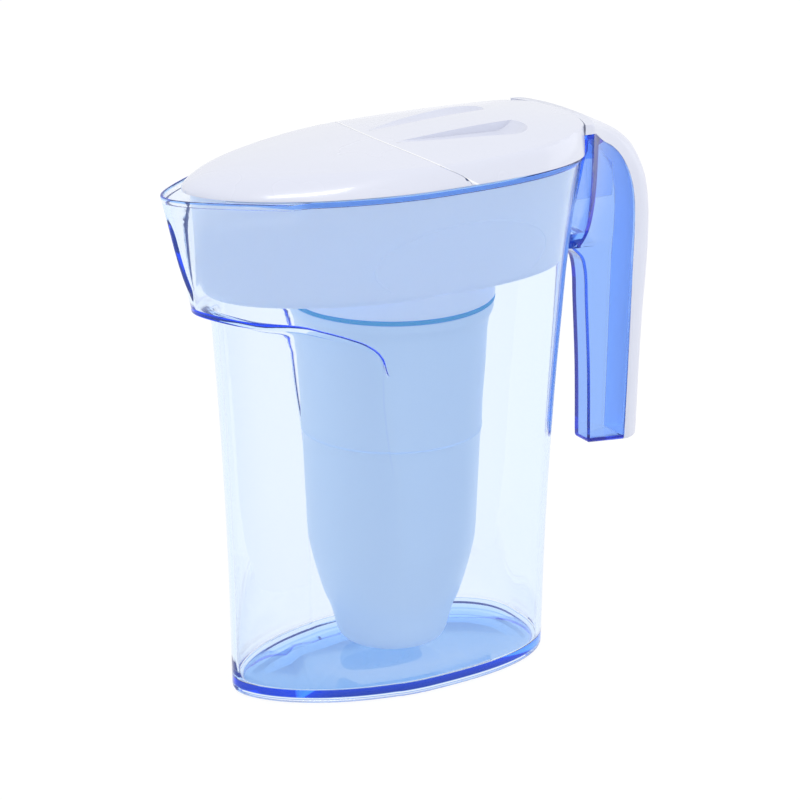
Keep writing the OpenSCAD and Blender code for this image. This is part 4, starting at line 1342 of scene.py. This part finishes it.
class PITCHER_OT_handle(bpy.types.Operator):
    """Builds the hollow blue handle and its white cover"""

    bl_idname = "pitcher.handle"
    bl_label = "Handle"

    def execute(self, context):
        declare(guard(make_handle_shell()), "jug", "handle_blue", "handle_shell", finish=handle_finish())
        white = moulded_finish("cover white", tuple(looks().lid_white), 0.3, coat=0.25)
        cover = guard(make_handle_cover())
        declare(cover, "jug", "white_gloss", "handle_cover", finish=white)
        # Painted light: the cover's faces that look into the handle's hollow get a glowing pale blue,
        # standing in for light through the blue shell.
        inner = moulded_finish("cover inside painted light", tuple(looks().cover_inside_light), 0.5, glow=0.34)
        cover.data.materials.append(inner)
        for face in cover.data.polygons:
            face.material_index = int(inside_cover(face.center))
        return {"FINISHED"}


class PITCHER_OT_reservoir(bpy.types.Operator):
    """Builds the milky reservoir with its collar and plain ovals"""

    bl_idname = "pitcher.reservoir"
    bl_label = "Reservoir"

    def execute(self, context):
        declare(guard(make_reservoir()), "reservoir", "reservoir_blue", "reservoir", finish=milky_finish())
        return {"FINISHED"}


class PITCHER_OT_lid(bpy.types.Operator):
    """Builds the lid's fixed front half and the flap that turns on it"""

    bl_idname = "pitcher.lid"
    bl_label = "Lid"

    def execute(self, context):
        white = moulded_finish("lid white", tuple(looks().lid_white), 0.24, coat=0.6)
        declare(guard(make_lid_front()), "lid", "white_gloss", "lid_front", finish=white)
        # Painted highlight: the flap's white carries a near-white line along its seam.
        seam_highlighted = moulded_finish("flap white painted highlight", tuple(looks().lid_white), 0.24, coat=0.6, edge=True)
        declare(guard(make_lid_flap()), "flap", "white_gloss", "lid_flap", finish=seam_highlighted)
        return {"FINISHED"}


class PITCHER_OT_filter(bpy.types.Operator):
    """Builds the filter cartridge and finishes the stages inside it"""

    bl_idname = "pitcher.filter"
    bl_label = "Filter"

    def execute(self, context):
        # Painted glow: the filter's shell gives off a little light in its own tone.
        pale = moulded_finish("filter shell", tuple(looks().filter_blue), 0.34, glow=0.23)
        shells = {"filter_housing": make_housing, "filter_cup": make_cup, "filter_cap": make_cap}
        for node, make in shells.items():
            declare(guard(make()), "filter", "filter_blue", node, finish=pale)
        declare(guard(make_seal()), "filter", "teal_rubber", "filter_seal", finish=rubber_finish())
        screen = mesh_finish("screen mesh", 0.9, (0.82, 0.84, 0.86))
        inside = {
            "inlet_screen": screen,
            "outlet_screen": screen,
            "outlet_membrane": mesh_finish("outlet membrane", 0.35, (0.86, 0.86, 0.84)),
            "foam_distributor": granule_finish(
                "foam", (0.5, 0.51, 0.52), (0.86, 0.86, 0.84), 620, 0.4, 0.9),
            "carbon_bed": granule_finish(
                "carbon grains", (0.006, 0.006, 0.007), (0.05, 0.05, 0.055), 900, 0.5, 0.6),
            "resin_bed": granule_finish(
                "resin beads", (0.2, 0.09, 0.02), (0.66, 0.42, 0.14), 1100, 0.5, 0.3),
        }
        for node, finish in inside.items():
            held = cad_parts[node].data.materials
            held.clear()
            held.append(finish)
        return {"FINISHED"}


# The stage is in metres.
FLOOR_HALF, FLOOR_Z = 30, -0.0003
WHITE_LIGHT, WHITE_SHARE = 1.04, 0.9
KEY_PLACE, KEY_AIM, KEY_SIZE = (-0.2, -0.45, 1.15), (-0.04, -0.03, 0.23), (0.45, 0.16)
SIDE_PLACE, SIDE_AIM, SIDE_SIZE = (1.3, -0.35, 0.45), (0.1, 0, 0.15), (0.8, 0.8)
CAMERA_PLACE, CAMERA_DOWN, CAMERA_TURN = (-0.58402, -1.00288, 0.52701), 19.263, -30.41
CAMERA_LENS = 126.886


def make_floor():
    """A level floor, large enough that its edge is out of sight."""
    bm = bmesh.new()
    bmesh.ops.create_grid(bm, x_segments=1, y_segments=1, size=FLOOR_HALF,
                          matrix=Matrix.Translation((0, 0, FLOOR_Z)))
    mesh = bpy.data.meshes.new("Floor")
    bm.to_mesh(mesh)
    bm.free()
    return put_in_scene("Floor", mesh)


def floor_finish():
    """White as far as the eye goes, and still taking the object's faint shadow."""
    finish = Finish("pale floor", Roughness=0.9)
    finish.set(Base_Color=finish.mix(finish.noise(3, 2), (0.925, 0.925, 0.935), (0.935, 0.935, 0.94)))
    white = finish.node("ShaderNodeEmission", {}, Color=(1, 1, 1), Strength=WHITE_LIGHT)
    seen, glossy, through = (finish.node("ShaderNodeLightPath", {}, out=f"Is {kind} Ray")
                             for kind in ("Camera", "Glossy", "Transmission"))
    share = seen.either(glossy).either(through) * WHITE_SHARE
    body = Sock(finish, finish.shader.outputs[0])
    finish.feed(finish.output.inputs["Surface"], finish.node("ShaderNodeMixShader", {}, share, body, white))
    return finish.material


def set_world():
    """An even white all round, as inside a light tent."""
    world = bpy.data.worlds.new("Studio")
    bpy.context.scene.world = world
    world.use_nodes = True
    tent = world.node_tree.nodes["Background"]
    tent.inputs["Color"].default_value = (1, 1, 1, 1)
    tent.inputs["Strength"].default_value = looks().world_light


def add_area(name, place, aim, size, power):
    """A soft rectangular light that looks from place towards aim."""
    data = bpy.data.lights.new(name, "AREA")
    data.shape, data.energy = "RECTANGLE", power
    data.size, data.size_y = size
    lamp = put_in_scene(name, data)
    lamp.location = place
    lamp.rotation_euler = (Vector(aim) - Vector(place)).to_track_quat("-Z", "Y").to_euler()


def add_camera():
    data = bpy.data.cameras.new("Camera")
    data.sensor_width, data.lens = 36, CAMERA_LENS
    data.clip_start, data.clip_end = 0.05, 100
    camera = put_in_scene("Camera", data)
    camera.location = CAMERA_PLACE
    camera.rotation_euler = (math.radians(90 - CAMERA_DOWN), 0, math.radians(CAMERA_TURN))
    bpy.context.scene.camera = camera


class PITCHER_OT_stage(bpy.types.Operator):
    """Sets the floor, the soft light and the camera"""

    bl_idname = "pitcher.stage"
    bl_label = "Stage"

    def execute(self, context):
        floor = make_floor()
        floor.data.materials.append(floor_finish())
        set_world()
        add_area("KeyLight", KEY_PLACE, KEY_AIM, KEY_SIZE, looks().key_light)
        add_area("SideLight", SIDE_PLACE, SIDE_AIM, SIDE_SIZE, looks().side_light)
        context.scene.view_settings.view_transform = "Standard"
        add_camera()
        return {"FINISHED"}


class PITCHER_PT_panel(bpy.types.Panel):
    """Sizes, looks and build buttons of the pitcher"""

    bl_idname = "PITCHER_PT_panel"
    bl_label = "Pitcher"
    bl_space_type = "VIEW_3D"
    bl_region_type = "UI"
    bl_category = "Pitcher"

    def draw(self, context):
        for group in (context.scene.pitcher_sizes, context.scene.pitcher_looks):
            box = self.layout.box()
            for key in group.__annotations__:
                box.prop(group, key)
        for operator in OPERATORS:
            self.layout.operator(operator.bl_idname)


OPERATORS = (
    PITCHER_OT_jug,
    PITCHER_OT_handle,
    PITCHER_OT_reservoir,
    PITCHER_OT_lid,
    PITCHER_OT_filter,
    PITCHER_OT_stage,
)
CLASSES = (PitcherSizes, PitcherLooks, *OPERATORS, PITCHER_PT_panel)


def register():
    for cls in CLASSES:
        bpy.utils.register_class(cls)
    bpy.types.Scene.pitcher_sizes = bpy.props.PointerProperty(type=PitcherSizes)
    bpy.types.Scene.pitcher_looks = bpy.props.PointerProperty(type=PitcherLooks)


def unregister():
    del bpy.types.Scene.pitcher_looks
    del bpy.types.Scene.pitcher_sizes
    for cls in reversed(CLASSES):
        bpy.utils.unregister_class(cls)


def main():
    register()
    bpy.ops.pitcher.jug()
    bpy.ops.pitcher.handle()
    bpy.ops.pitcher.reservoir()
    bpy.ops.pitcher.lid()
    bpy.ops.pitcher.filter()
    bpy.ops.pitcher.stage()
    bpy.context.view_layer.update()


if __name__ == "__main__":
    main()
